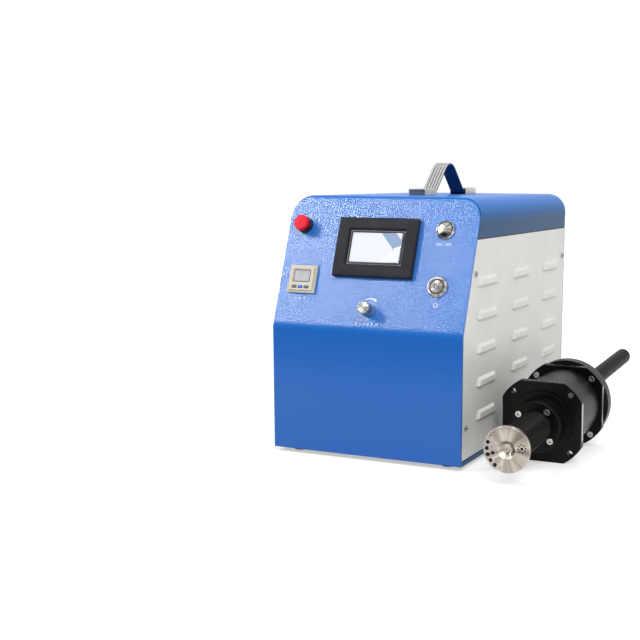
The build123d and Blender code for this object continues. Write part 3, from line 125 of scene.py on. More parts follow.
def spot(name, home):
    """Middle of a CAD node in a home's own millimetres."""
    return sum(span(name, home)) / 2


front_low, front_high = (np.array(corner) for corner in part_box("front_panel"))
MID_X = (front_low[0] + front_high[0]) / 2
HALF_W = (front_high[0] - front_low[0]) / 2
fold_z = front_low[2] + FOLD_MM * MM
out = -np.array(joints["power_press"]["axis"], float)
gun_axis = np.array(joints["nozzle_spin"]["axis"], float)

UPRIGHT = (np.array([MID_X, front_low[1], front_low[2]]), np.stack([RIGHT, BACK, UP]))
SLOPE = (np.array([MID_X, front_low[1], fold_z]), np.stack([RIGHT, np.cross(out, RIGHT), out]))
REAR = (np.array([MID_X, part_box("rear_panel")[1][1], front_low[2]]), np.stack([-RIGHT, UP, BACK]))
GUN = (np.array(joints["nozzle_spin"]["pos_m"], float),
       np.stack([RIGHT, np.cross(gun_axis, RIGHT), gun_axis]))
gun_start_mm = span("nozzle_disc", GUN)[1][2] - DISC_FACE_MM
GUN = (GUN[0] + gun_axis * gun_start_mm * MM, GUN[1])
print("panel normal", out.round(3), "gun axis", gun_axis.round(3), "gun start", round(gun_start_mm, 2))

# %% [markdown]
# ## From arrays to meshes
# A surface is a function of two parameters. numpy works out all its points at once on a grid, and one
# helper joins the grid into quads. Where a grid meets itself, as it does round a tube, its last column is
# tied to its first. Open ends are closed with one many-sided face each.

# %% Mesh helpers
WELD = 1e-6


def shade(piece, sharp_deg=32):
    """Smooth shading that stays crisp at edges steeper than an angle."""
    mesh = piece.data
    mesh.polygons.foreach_set("use_smooth", np.ones(len(mesh.polygons), bool))
    mesh.set_sharp_from_angle(angle=math.radians(sharp_deg))
    return piece


def mesh_piece(name, points, faces):
    """A smooth mesh object from an array of world points and a list of faces, its normals turned outwards."""
    mesh = bpy.data.meshes.new(name)
    mesh.from_pydata(np.asarray(points, float).reshape(-1, 3).tolist(), [], faces)
    piece = bpy.data.objects.new(name, mesh)
    bpy.context.scene.collection.objects.link(piece)
    work = bmesh.new()
    work.from_mesh(mesh)
    bmesh.ops.remove_doubles(work, verts=work.verts, dist=WELD)
    bmesh.ops.dissolve_degenerate(work, edges=work.edges, dist=WELD / 10)
    bmesh.ops.recalc_face_normals(work, faces=work.faces)
    work.to_mesh(mesh)
    work.free()
    return shade(piece)


def grid_faces(rows, columns, tie_rows=False, tie_columns=True):
    """Quads between neighbouring rows and columns; a tied direction closes on itself."""
    r = np.arange(rows if tie_rows else rows - 1)
    c = np.arange(columns if tie_columns else columns - 1)
    r, c = np.meshgrid(r, c, indexing="ij")
    r2, c2 = (r + 1) % rows, (c + 1) % columns
    quads = np.stack([r * columns + c, r * columns + c2, r2 * columns + c2, r2 * columns + c], -1)
    return quads.reshape(-1, 4).tolist()


def lofted(name, rings, home):
    """A closed skin over rings of equal length: quads between rings, and one face on each end."""
    rings = np.asarray(rings, float)
    count, around = rings.shape[:2]
    ends = [list(range(around)), list(range((count - 1) * around, count * around))]
    return mesh_piece(name, carry(rings.reshape(-1, 3), home), grid_faces(count, around) + ends)


def turned(name, profile, home, at=(0.0, 0.0), steps=96, hollow=False):
    """A turned piece. Each (r, z) of the profile goes to (x + r cos a, y + r sin a, z) for a from 0 to
    2 pi. A profile that starts or ends on the axis closes there in a point."""
    profile = np.asarray(profile, float)
    a = np.linspace(0, 2 * np.pi, steps, endpoint=False)
    r, z = profile[:, 0:1], profile[:, 1:2]
    points = np.stack([at[0] + r * np.cos(a), at[1] + r * np.sin(a), z + 0 * a], -1)
    return mesh_piece(name, carry(points, home), grid_faces(len(profile), steps, tie_rows=hollow))


def rounded(points, radii, arc_steps=5):
    """A line through points whose inner corners are replaced by arcs. An arc of radius r touches both of its
    runs at r / tan(half the corner's angle) from the corner."""
    points = np.asarray(points, float)
    radii = [radii] * (len(points) - 2) if np.isscalar(radii) else radii
    line = [points[:1]]
    for before, corner, after, radius in zip(points[:-2], points[1:-1], points[2:], radii):
        a = (before - corner) / np.linalg.norm(before - corner)
        b = (after - corner) / np.linalg.norm(after - corner)
        half = np.arccos(np.clip(a @ b, -1, 1)) / 2
        centre = corner + (a + b) / np.linalg.norm(a + b) * radius / np.sin(half)
        u, v = corner + a * radius / np.tan(half) - centre, corner + b * radius / np.tan(half) - centre
        sweep = np.arctan2(u[0] * v[1] - u[1] * v[0], u @ v)
        t = np.linspace(0, sweep, arc_steps)[:, None]
        line.append(centre + u * np.cos(t) + np.array([-u[1], u[0]]) * np.sin(t))
    line.append(points[-1:])
    return np.concatenate(line)


def round_box(w, h, r, arc_steps=6):
    """Outline of a rectangle with round corners, anticlockwise: four quarter arcs about inset centres."""
    a = np.linspace(0, np.pi / 2, arc_steps)
    quarters = np.arange(4)[:, None] * np.pi / 2
    centres = np.array([[1, 1], [-1, 1], [-1, -1], [1, -1]]) * [w / 2 - r, h / 2 - r]
    arcs = np.stack([np.cos(a + quarters), np.sin(a + quarters)], -1) * r
    return (centres[:, None] + arcs).reshape(-1, 2)


def pressed(name, outline, levels, home, at=(0.0, 0.0)):
    """A plate with soft edges: the outline, moved inwards by each level's inset, at each level's height.
    A point moves inwards along its own normal, so the corners stay round."""
    outline = np.asarray(outline, float)
    tangent = np.roll(outline, -1, 0) - np.roll(outline, 1, 0)
    normal = np.stack([tangent[:, 1], -tangent[:, 0]], -1)
    normal /= np.linalg.norm(normal, axis=1, keepdims=True)
    rings = [np.column_stack([outline - normal * inset + at, np.full(len(outline), z)])
             for inset, z in levels]
    return lofted(name, rings, home)


# %% [markdown]
# A machined or moulded edge is never perfectly sharp, and the thin highlight along it is what makes a part
# look solid. CAD pieces arrive with razor edges. So a visible one is copied, welded and given a small bevel,
# and the copy stands in for it. The copy keeps every hole and boss of the original. Edges get a weight, so
# that a fold in sheet metal can be much rounder than the cut edge beside it.

# %% Soft edges on copies of CAD pieces
FLAT_DEG = 0.6


def softened(name, width_mm, weigh=None, segments=3, limit_deg=30, sharp_deg=32):
    """A welded copy of a CAD node with bevelled edges. Triangles that lie flatter than FLAT_DEG are joined
    first. weigh(middle, edge) gives an edge its share of the width."""
    work = bmesh.new()
    work.from_mesh(nodes[name].data)
    bmesh.ops.remove_doubles(work, verts=work.verts, dist=WELD)
    bmesh.ops.dissolve_limit(work, angle_limit=math.radians(FLAT_DEG), verts=work.verts, edges=work.edges)
    weight = work.edges.layers.float.new("bevel_weight_edge")
    for edge in work.edges:
        if len(edge.link_faces) == 2 and math.degrees(edge.calc_face_angle()) > limit_deg:
            middle = np.array((edge.verts[0].co + edge.verts[1].co) / 2)
            edge[weight] = weigh(middle, edge) if weigh else 1.0
    mesh = bpy.data.meshes.new(name + "_dressed")
    work.to_mesh(mesh)
    work.free()
    piece = bpy.data.objects.new(name + "_dressed", mesh)
    bpy.context.scene.collection.objects.link(piece)
    bevel = piece.modifiers.new("soft_edges", "BEVEL")
    bevel.limit_method = "WEIGHT"
    bevel.width = width_mm * MM
    bevel.segments = segments
    bevel.use_clamp_overlap = False
    bevel.loop_slide = False
    bevel.harden_normals = True
    return shade(piece, sharp_deg)


def join_on(piece, material, host):
    """Fix an added piece to the body of a CAD node, in a finish."""
    piece.data.materials.clear()
    piece.data.materials.append(material)
    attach(piece, nodes[host]["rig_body"])
    return piece


def stand_in(piece, material, name):
    """Let a piece take the place of a CAD node."""
    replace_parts(join_on(piece, material, name), name)
    return piece


def dress(material, *names):
    """Give CAD nodes that keep their own shape a finish."""
    for name in names:
        nodes[name].data.materials.clear()
        nodes[name].data.materials.append(material)


# %% [markdown]
# ## Finishes
# Each finish starts from what the real surface is and how it was made. Colours are sRGB hex, as a painter
# would pick them, and one function turns them to the linear values that the renderer works in. One small
# function adds a node with its values and links.

# %% Material helpers
def linear(hex_colour):
    """sRGB hex to a linear RGBA tuple."""
    value = np.array([int(hex_colour[i:i + 2], 16) for i in (1, 3, 5)]) / 255.0
    value = np.where(value <= 0.04045, value / 12.92, ((value + 0.055) / 1.055) ** 2.4)
    return (*value.tolist(), 1.0)


def add(tree, kind, values=None, links=None, **properties):
    """Add a node, set its properties and its sockets' values, and link its inputs to other nodes."""
    node = tree.nodes.new(kind)
    for key, value in properties.items():
        setattr(node, key, value)
    for key, value in (values or {}).items():
        node.inputs[key].default_value = value
    for key, source in (links or {}).items():
        tree.links.new(getattr(source, "outputs", [source])[0], node.inputs[key])
    return node


def finish(name, base, roughness, metallic=0.0, **sockets):
    """A material with one Principled shader. Further sockets are named with _ for a space."""
    material = bpy.data.materials.new(name)
    material.use_nodes = True
    material.diffuse_color = linear(base)
    shader = material.node_tree.nodes["Principled BSDF"]
    shader.inputs["Base Color"].default_value = linear(base)
    shader.inputs["Roughness"].default_value = roughness
    shader.inputs["Metallic"].default_value = metallic
    for key, value in sockets.items():
        shader.inputs[key.replace("_", " ")].default_value = value
    return material, material.node_tree, shader


def object_place(tree):
    """Object coordinates, which are world metres here, because every piece sits at the origin."""
    return add(tree, "ShaderNodeTexCoord").outputs["Object"]


def mottle(tree, shader, low, high, patch_mm, detail=3.0):
    """Slow variation between two hex tones, in patches of about patch_mm, as uneven coating or handling
    gives."""
    noise = add(tree, "ShaderNodeTexNoise", {"Scale": 1 / (patch_mm * MM), "Detail": detail},
                {"Vector": object_place(tree)})
    ramp = add(tree, "ShaderNodeValToRGB", links={"Fac": noise})
    ramp.color_ramp.elements[0].position, ramp.color_ramp.elements[1].position = 0.32, 0.68
    ramp.color_ramp.elements[0].color, ramp.color_ramp.elements[1].color = linear(low), linear(high)
    tree.links.new(ramp.outputs["Color"], shader.inputs["Base Color"])


def grain(tree, shader, grain_mm, depth_mm, detail=2.0):
    """Bump of fine grains, grain_mm across and depth_mm deep, as spraying, blasting or moulding leaves."""
    noise = add(tree, "ShaderNodeTexNoise", {"Scale": 1 / (grain_mm * MM), "Detail": detail},
                {"Vector": object_place(tree)})
    bump = add(tree, "ShaderNodeBump", {"Distance": depth_mm * MM}, {"Height": noise})
    tree.links.new(bump.outputs["Normal"], shader.inputs["Normal"])


# %% [markdown]
# ### Powder-coated steel, blue
# The front is sprayed with a glossy powder that melts into an orange-peel skin. The real pimples are one to
# two millimetres across. They break up the lamps' reflection on the slanted part into many small glints,
# which is what gives it its pale, sparkling sheen. Below the fold the skin is calmer, so the bump and its
# glints fade there. The colour is also drawn a little deeper below the fold: that is painted shade, for the
# upright face that catches less light than the slope. A coat over the base carries the glints, because cured
# powder has a clear, hard surface over its pigment. The pimples could be real geometry, but that would take
# millions of faces for a relief that is thinner than a hair, so they are a bump. Its depth is set larger than
# the real one, because at this picture's size the true depth would hardly show.

# %% Blue front
PEEL_MM = 1.4
PEEL_DEPTH_MM = 0.68
CALM_BELOW_MM = 4
FULL_ABOVE_MM = 8
CALM_SHARE = 0.05
peel, tree, shader = finish("powder_coat_blue", "#1E74CC", 0.24, Specular_IOR_Level=0.3,
                            Coat_Weight=0.9, Coat_Roughness=0.10, Coat_IOR=1.65)
place = object_place(tree)
height = add(tree, "ShaderNodeSeparateXYZ", links={"Vector": place}).outputs["Z"]
skin = add(tree, "ShaderNodeMapRange", {"From Min": fold_z - CALM_BELOW_MM * MM,
                                        "From Max": fold_z + FULL_ABOVE_MM * MM,
                                        "To Min": CALM_SHARE, "To Max": 1.0}, {"Value": height})
pimples = add(tree, "ShaderNodeTexNoise", {"Scale": 1 / (PEEL_MM * MM), "Detail": 3.0, "Roughness": 0.5},
              {"Vector": place})
bump = add(tree, "ShaderNodeBump", {"Distance": PEEL_DEPTH_MM * MM}, {"Height": pimples, "Strength": skin})
tree.links.new(bump.outputs["Normal"], shader.inputs["Normal"])
tree.links.new(bump.outputs["Normal"], shader.inputs["Coat Normal"])
gloss = add(tree, "ShaderNodeMapRange", {"To Min": 0.05, "To Max": 0.9}, {"Value": skin})
tree.links.new(gloss.outputs["Result"], shader.inputs["Coat Weight"])
# Painted shade: below the fold the same powder is drawn a deeper blue, for the upright face that catches less
# light.
painted_shade_ramp = add(tree, "ShaderNodeValToRGB", links={"Fac": skin})
painted_shade_ramp.color_ramp.elements[0].position, painted_shade_ramp.color_ramp.elements[1].position = 0.05, 1.0
painted_shade_ramp.color_ramp.elements[0].color, painted_shade_ramp.color_ramp.elements[1].color = linear("#1A62B8"), linear("#1C72CA")
tree.links.new(painted_shade_ramp.outputs["Color"], shader.inputs["Base Color"])

# %% [markdown]
# ### Satin paint, blue and off-white
# The cover and the side panels are sheet steel with a sprayed satin coat. It is smooth, with a faint ripple
# from the spraying that shows only along a highlight. The blue is drawn fuller on top and greyer and darker
# lower down, on the cover's upright sides and on the base: that is painted shade, for the faces that catch
# less light. Dust makes the white slightly uneven. A single flat colour would look like a drawing, so the
# blue follows the height and the white has slow patches.

# %% Satin paints
cover_low, cover_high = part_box("top_cover")
satin_blue, tree, shader = finish("satin_paint_blue", "#2E6CB4", 0.34, Specular_IOR_Level=0.08)
height = add(tree, "ShaderNodeSeparateXYZ", links={"Vector": object_place(tree)}).outputs["Z"]
climb = add(tree, "ShaderNodeMapRange", {"From Min": cover_low[2], "From Max": cover_high[2]},
            {"Value": height})
# Painted shade: the blue is drawn greyer and darker lower down.
painted_shade_ramp = add(tree, "ShaderNodeValToRGB", links={"Fac": climb})
painted_shade_ramp.color_ramp.elements[0].position, painted_shade_ramp.color_ramp.elements[1].position = 0.35, 0.9
painted_shade_ramp.color_ramp.elements[0].color, painted_shade_ramp.color_ramp.elements[1].color = linear("#184C76"), linear("#2474CC")
tree.links.new(painted_shade_ramp.outputs["Color"], shader.inputs["Base Color"])
grain(tree, shader, 1.2, 0.012)

satin_white, tree, shader = finish("satin_paint_off_white", "#E4E4E0", 0.36, Specular_IOR_Level=0.5)
mottle(tree, shader, "#DFDFDB", "#E6E6E2", 45)
grain(tree, shader, 1.0, 0.014)

# %% [markdown]
# ### Moulded plastics, rubber and glass
# Moulded parts carry the fine spark texture of their mould, which scatters light. So even a black part has
# a soft grey sheen along its edges. A fine bump gives that, where a higher roughness alone would look like
# chalk. The real grains are a tenth or two of a millimetre across, too fine to show here, so they are drawn
# about half a millimetre across. The strap is vinyl with a silver-grey top. Its underside is drawn navy: that
# is painted shade, with a painted reflection of the blue cover. Its grooves are darkened by colour, partly
# for the dirt that gathers there and partly as painted shade in the creases.

# %% Plastics, rubber and glass
black_rubber, tree, shader = finish("moulded_rubber_black", "#1B1B1C", 0.62)
grain(tree, shader, 0.6, 0.05)

charcoal, tree, shader = finish("textured_abs_charcoal", "#26272D", 0.55, Specular_IOR_Level=0.12)
mottle(tree, shader, "#222329", "#2A2B31", 14)
grain(tree, shader, 0.5, 0.03)

beige, tree, shader = finish("moulded_abs_beige", "#CDC6B6", 0.5, Specular_IOR_Level=0.2)
mottle(tree, shader, "#C8C1B0", "#D2CBBB", 10)
grain(tree, shader, 0.45, 0.02)

black_abs, tree, shader = finish("moulded_nylon_black", "#17181A", 0.42, Specular_IOR_Level=0.4)
mottle(tree, shader, "#141517", "#1C1D20", 9)
grain(tree, shader, 0.5, 0.03)

red_gloss, tree, shader = finish("moulded_polycarbonate_red", "#DE1830", 0.5, Specular_IOR_Level=0.15)
mottle(tree, shader, "#D90F28", "#E6162F", 6)

STRAP_RIBS = 5
strap_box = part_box("handle_strap")
strap_grey, tree, shader = finish("silvered_vinyl", "#A4A4A4", 0.3, 0.5)
across = add(tree, "ShaderNodeSeparateXYZ", links={"Vector": object_place(tree)}).outputs["X"]
ribs = add(tree, "ShaderNodeMapRange", {"From Min": strap_box[0][0], "From Max": strap_box[1][0],
                                        "To Max": STRAP_RIBS}, {"Value": across})
nearness = add(tree, "ShaderNodeMath", {1: 0.5}, {0: ribs}, operation="PINGPONG")
# Partly dirt, partly painted shade: the grooves between the ribs are drawn dark.
groove = add(tree, "ShaderNodeValToRGB", links={"Fac": nearness})
groove.color_ramp.elements[0].position, groove.color_ramp.elements[1].position = 0.06, 0.26
groove.color_ramp.elements[0].color = linear("#3C3C3D")
groove.color_ramp.elements[1].color = linear("#B2B2B1")
tree.links.new(groove.outputs["Color"], shader.inputs["Base Color"])
grain(tree, shader, 0.6, 0.03)

# Painted shade with a painted reflection: the strap's underside is drawn navy, for its shaded side that
# mirrors the blue cover.
strap_underside_shade, tree, shader = finish("vinyl_underside_painted_shade", "#17345E", 0.5)
mottle(tree, shader, "#142F55", "#1B3A66", 5)
grain(tree, shader, 0.5, 0.03)

key_grey, tree, shader = finish("silicone_key_grey", "#4C4D52", 0.45)
mottle(tree, shader, "#47484D", "#515257", 3)
key_blue, tree, shader = finish("silicone_key_blue", "#2258E0", 0.4)
mottle(tree, shader, "#1F52D6", "#285EE8", 3)

lcd, tree, shader = finish("liquid_crystal_blank", "#B4B5B9", 0.5, Specular_IOR_Level=0.2)
mottle(tree, shader, "#ACAEB2", "#BCBDC1", 14, 1.0)

screen, tree, shader = finish("screen_glass_off", "#D5DEED", 0.14, Coat_Weight=0.5, Coat_Roughness=0.04)
mottle(tree, shader, "#CBD6EA", "#DEE6F2", 30, 1.0)
# Painted glow: the diffuser gives off a faint light of its own, though it is no lamp.
diffuser_painted_glow, tree, shader = finish("screen_diffuser", "#F6F9FF", 0.3, Emission_Color=linear("#F2F6FF"),
                                Emission_Strength=0.12)
mottle(tree, shader, "#F0F4FC", "#FAFCFF", 22, 1.0)

# The film is clear where it lies flat. Facets that lean one way are drawn blue-grey by the direction they
# face: painted shade.
film, tree, shader = finish("protective_film", "#F4F8FF", 0.08, Specular_IOR_Level=0.6, Alpha=0.75)
facing = add(tree, "ShaderNodeNewGeometry").outputs["True Normal"]
lean = add(tree, "ShaderNodeVectorMath", {1: tuple(-RIGHT * 0.8 - SLOPE[1][1] * 0.6)}, {0: facing},
           operation="DOT_PRODUCT").outputs["Value"]
facet_painted_shade = add(tree, "ShaderNodeValToRGB", links={"Fac": add(tree, "ShaderNodeMapRange", {"From Max": 0.16},
                                                         {"Value": lean})})
facet_painted_shade.color_ramp.elements[0].color, facet_painted_shade.color_ramp.elements[1].color = linear("#F6F9FF"), linear("#8FAAD2")
tree.links.new(facet_painted_shade.outputs["Color"], shader.inputs["Base Color"])

ink, tree, shader = finish("screen_printed_ink_white", "#F2F6FA", 0.5)
mottle(tree, shader, "#E6EEF6", "#F8FAFC", 1.0)
dark_ink, tree, shader = finish("etched_mark_dark", "#2E2F31", 0.5)
mottle(tree, shader, "#28292B", "#38393B", 0.8)

# %% [markdown]
# ### Bare and plated metals
# Polished plate mirrors the white studio and the dark gaps round it. A turned face keeps the rings of the
# lathe tool. They pull every highlight out into a fan, so those faces get an anisotropic shader whose
# tangent runs round the axis. It is read from a UV map in which u goes round and v goes outwards. The rings
# are drawn a few tenths of a millimetre apart, coarser than real tool marks, which would be too fine to show.

# %% Metals
chrome, tree, shader = finish("polished_nickel_plate", "#B9B6AF", 0.16, 1.0)
mottle(tree, shader, "#AFACA4", "#C2C0BA", 5)
grain(tree, shader, 2.5, 0.02)

plated, tree, shader = finish("zinc_plated_steel", "#9C9B97", 0.34, 1.0)
mottle(tree, shader, "#8A8985", "#AAA9A4", 2.5)
grain(tree, shader, 0.8, 0.02)

brass, tree, shader = finish("turned_brass", "#C8A25C", 0.28, 1.0)
mottle(tree, shader, "#BC964F", "#D2AE6A", 5)

copper, tree, shader = finish("enamelled_copper", "#A4562E", 0.35, 0.8)
mottle(tree, shader, "#94491F", "#B4663A", 1.2)

ferrite, tree, shader = finish("sintered_ferrite", "#2B2B2E", 0.6)
mottle(tree, shader, "#242427", "#36363A", 3)

alumina, tree, shader = finish("glazed_alumina", "#EDE8DC", 0.3)
mottle(tree, shader, "#E6E0D2", "#F2EEE4", 6)

board_green, tree, shader = finish("solder_mask_green", "#1C5B34", 0.35, Coat_Weight=0.4)
mottle(tree, shader, "#184F2D", "#21683C", 7)


def lathe_finish(name, dark, bright, roughness, ring_mm, centre):
    """A turned metal face: anisotropy round the axis, fine rings of tool marks, and a painted highlight: a
    fan of lighter and darker sectors in the base colour, for the fans of lamp light that the rings throw. The
    fan is noise read at the direction from the centre, which is the same all along a ray. The rings are
    one-dimensional noise of the distance from the axis."""
    material, tree, shader = finish(name, dark, roughness, 1.0, Anisotropic=0.75)
    aside = add(tree, "ShaderNodeMapping", {"Location": tuple(-np.asarray(centre, float))},
                {"Vector": object_place(tree)})
    ray = add(tree, "ShaderNodeVectorMath", links={0: aside}, operation="NORMALIZE")
    sectors = add(tree, "ShaderNodeTexNoise", {"Scale": 2.2, "Detail": 4.0, "Roughness": 0.6},
                  {"Vector": ray})
    # Painted highlight: the base colour turns lighter and darker in sectors round the centre.
    fan = add(tree, "ShaderNodeValToRGB", links={"Fac": sectors})
    fan.color_ramp.elements[0].position, fan.color_ramp.elements[1].position = 0.38, 0.62
    fan.color_ramp.elements[0].color, fan.color_ramp.elements[1].color = linear(dark), linear(bright)
    tree.links.new(fan.outputs["Color"], shader.inputs["Base Color"])
    tangent = add(tree, "ShaderNodeTangent", direction_type="UV_MAP", uv_map="lathe")
    tree.links.new(tangent.outputs["Tangent"], shader.inputs["Tangent"])
    polar = add(tree, "ShaderNodeUVMap", uv_map="lathe")
    outwards = add(tree, "ShaderNodeSeparateXYZ", links={"Vector": polar}).outputs["Y"]
    rings = add(tree, "ShaderNodeTexNoise", {"Scale": 1 / (ring_mm * MM), "Detail": 3.0}, {"W": outwards},
                noise_dimensions="1D")
    bump = add(tree, "ShaderNodeBump", {"Distance": 0.03 * MM, "Strength": 0.6}, {"Height": rings})
    tree.links.new(bump.outputs["Normal"], shader.inputs["Normal"])
    return material


def centre_of(name, home):
    """World place of the middle of a node's highest face in a home."""
    low, high = span(name, home)
    return carry([*((low + high) / 2)[:2], high[2]], home)


disc_centre, knob_centre = centre_of("nozzle_disc", GUN), centre_of("power_knob", SLOPE)
run_centre, power_centre = centre_of("run_button_cap", SLOPE), centre_of("power_button_cap", SLOPE)
faced = lathe_finish("faced_stainless_steel", "#857C72", "#C9C1B7", 0.32, 0.5, disc_centre)
steel_run = lathe_finish("turned_steel_dome", "#6F6D69", "#D8D5CE", 0.2, 0.3, run_centre)
steel_power = lathe_finish("turned_steel_flat", "#82807B", "#C3C0B9", 0.24, 0.3, power_centre)
aluminium = lathe_finish("turned_aluminium", "#8E8D89", "#D6D4CF", 0.24, 0.3, knob_centre)
satin_nickel, tree, shader = finish("satin_nickel_plate", "#C4C0B7", 0.27, 1.0)
mottle(tree, shader, "#BAB6AC", "#CECBC4", 5)


def lathe_map(piece, home, at=(0.0, 0.0)):
    """UV map for turned faces: u is the angle over 2 pi, v the distance from the axis in metres.
    A face that crosses the back of the circle keeps its angles together, near its own middle."""
    mesh = piece.data
    layer = mesh.uv_layers.new(name="lathe")
    local = (vertex_places(mesh) - home[0]) @ home[1].T - np.array([*at, 0.0]) * MM
    corner = np.empty(len(mesh.loops), int)
    mesh.loops.foreach_get("vertex_index", corner)
    size = np.empty(len(mesh.polygons), int)
    mesh.polygons.foreach_get("loop_total", size)
    owner = np.repeat(np.arange(len(size)), size)
    flat = local[corner, :2]
    middle = np.stack([np.bincount(owner, flat[:, k]) / size for k in (0, 1)], 1)[owner]
    about = np.arctan2(middle[:, 1], middle[:, 0])
    angle = np.arctan2(flat[:, 1], flat[:, 0])
    angle = about + (angle - about + np.pi) % (2 * np.pi) - np.pi
    layer.data.foreach_set("uv", np.stack([angle / (2 * np.pi), np.linalg.norm(flat, axis=1)], 1).ravel())
    return piece


# %% [markdown]
# ### Anodised aluminium, black
# The gun is machined from aluminium and dyed black. The surface under the dye is still metal-smooth, so it
# is nearly black face on and turns to a soft grey where it is seen at a low angle. A metallic shader would
# tint that grey with the base colour. The oxide layer is a ceramic, so a dielectric with a low specular
# level comes closer.

# %% Anodised blacks
anodised, tree, shader = finish("black_anodised_aluminium", "#0B0C0E", 0.32, Specular_IOR_Level=0.13)
mottle(tree, shader, "#090A0B", "#0F1012", 9)
grain(tree, shader, 0.6, 0.015)

body_dark, tree, shader = finish("satin_anodised_dark", "#131613", 0.34, Specular_IOR_Level=0.18)
mottle(tree, shader, "#101310", "#181B17", 14)
grain(tree, shader, 0.7, 0.012)

sleeve, tree, shader = finish("drawn_tube_black", "#090A0B", 0.36, Specular_IOR_Level=0.06, IOR=1.3)
mottle(tree, shader, "#070808", "#0C0D0E", 12)

# %% [markdown]
# ## The housing
# The front is one bent plate. Its fold is a press-brake bend of several millimetres radius, its outer edges
# are dressed by hand and coated thickly, and the openings for the controls keep their cut edge, because a
# bezel hides each. So the copy's edges are weighed by where they lie. The plate could be built anew from a
# bent profile, but every opening would then have to be cut again in the right place, and the copy has them.

# %% Front panel
FOLD_RADIUS_MM = 6.0
RIM_SHARE = 0.30
RIM_OUT_MM = 112
RIM_HIGH_MM = 279
RIM_LOW_MM = 5


def weigh_front(at, edge):
    """Whole width on the fold, a share of it on the outer rim, nothing round the openings."""
    x, z = abs(at[0] - MID_X), at[2] - front_low[2]
    if abs(at[2] - fold_z) < 1 * MM and abs(edge.verts[0].co.z - edge.verts[1].co.z) < WELD:
        return 1.0
    on_rim = x > RIM_OUT_MM * MM or z > RIM_HIGH_MM * MM or z < RIM_LOW_MM * MM
    return RIM_SHARE if on_rim else 0.0


front = softened("front_panel", FOLD_RADIUS_MM, weigh_front, segments=4, limit_deg=15)
stand_in(front, peel, "front_panel")

# %% [markdown]
# The side panels are punched with louvres: a slit is cut and the metal above it is pushed outwards into a
# hood. A press tool has no sharp corners, so the hoods' proud edges are rounded and their feet stay crisp.
# A bump could fake the hoods from the front, but not their outline seen along the panel.
# The cover, the base and the rear panel keep their own shape, because their bends are in the construction.

# %% Side panels, cover and base
PROUD_MM = 2.1
BEHIND_MM = 0.5


def weigh_louvres(at, edge):
    """Edges that stand proud of the sheet, or that climb from it, are rounded."""
    reach = [abs(v.co.x - MID_X) - HALF_W for v in edge.verts]
    return 1.0 if max(reach) > PROUD_MM * MM and min(reach) > -BEHIND_MM * MM else 0.0


for name in ("side_panel_left", "side_panel_right"):
    stand_in(softened(name, 0.9, weigh_louvres, limit_deg=20, sharp_deg=12), satin_white, name)

dress(satin_blue, "top_cover", "base_tray")
dress(satin_white, "rear_panel")
dress(black_rubber, "seam_gaskets")
dress(plated, "housing_screws", "panel_nuts", "corner_brackets", "power_module", "potentiometer")
stand_in(softened("feet", 0.6), black_rubber, "feet")

# %% [markdown]
# ## The carrying handle
# A vinyl strap is moulded flat with lengthwise ribs and bent into an arch when it is screwed down under two
# pressed caps. Cloth simulation would let it sag, but this vinyl is stiff and springs into one even curve.
# So its section is carried along the arch: at each station the section stands square to the line.
# The two layers are two pieces, because the top is silvered and the underside is drawn navy as painted
# shade. The arch is two straight legs and one arc, and the arc's radius r follows from the heights: the point
# where the legs would meet lies r / cos(leg angle) - r above the crest.

# %% Strap
RIB_RISE_MM = 0.8
LAYER_MM = 0.7
LEG_DEG = 42.0
LEG_FOOT_MM = 50.0
SEAT_BEND_MM = 7.0
EDGE_FADE_MM = 0.7
strap_low, strap_high = span("handle_strap", UPRIGHT)
strap_middle = (strap_low + strap_high) / 2
strap_half = (strap_high - strap_low) / 2
seat_z = strap_low[2] + LAYER_MM + RIB_RISE_MM
crest_z = strap_high[2] - LAYER_MM - RIB_RISE_MM
meet_z = seat_z + LEG_FOOT_MM * math.tan(math.radians(LEG_DEG))
arch_radius = (meet_z - crest_z) / (1 / math.cos(math.radians(LEG_DEG)) - 1)
print("strap arch radius", round(arch_radius, 1), "mm, crest", round(crest_z, 1))


def strap_layer(name, side):
    """One layer of the strap. Its skin is line(s) + x * across + side * h(x) * normal(s), where h is the
    layer's thickness plus ribs of the form rise * |cos(pi x / pitch)|, softened towards both edges."""
    path = [(-strap_half[1], seat_z), (-LEG_FOOT_MM, seat_z), (0, meet_z), (LEG_FOOT_MM, seat_z),
            (strap_half[1], seat_z)]
    line = rounded(path, [SEAT_BEND_MM, arch_radius, SEAT_BEND_MM], 24) + [strap_middle[1], 0]
    along = np.concatenate([[0], np.cumsum(np.linalg.norm(np.diff(line, axis=0), axis=1))])
    s = np.linspace(0, along[-1], 120)
    y, z = np.interp(s, along, line[:, 0]), np.interp(s, along, line[:, 1])
    ty, tz = np.gradient(y, s), np.gradient(z, s)
    half = strap_half[0]
    x = np.linspace(-half, half, 101)
    edge = np.clip((half - np.abs(x)) / EDGE_FADE_MM, 0, 1) ** 0.5
    rib = RIB_RISE_MM * np.abs(np.cos(np.pi * x * STRAP_RIBS / (2 * half))) ** 0.8
    section_x = np.concatenate([x, x[::-1]]) + strap_middle[0]
    section_h = np.concatenate([(LAYER_MM + rib) * edge * side, 0 * x])
    points = np.stack([section_x[None] + 0 * s[:, None], y[:, None] - tz[:, None] * section_h,
                       z[:, None] + ty[:, None] * section_h], -1)
    return lofted(name, points, UPRIGHT)


stand_in(strap_layer("handle_strap_top", 1), strap_grey, "handle_strap")
# The underside layer carries the navy painted shade.
join_on(strap_layer("handle_strap_underside", -1), strap_underside_shade, "handle_strap")
stand_in(softened("handle_caps", 0.5), satin_nickel, "handle_caps")

# %% [markdown]
# ## The control panel
# Frame, meter and buttons sit on the slanted plate. Plastic mouldings get soft edges from their own CAD
# shape. The screen's active area, which is drawn with a faint painted glow, and the seals round the glass
# and the meter's display are too thin for a solid model, so they are added here: a low plate with round
# corners, and two flat closed bands.

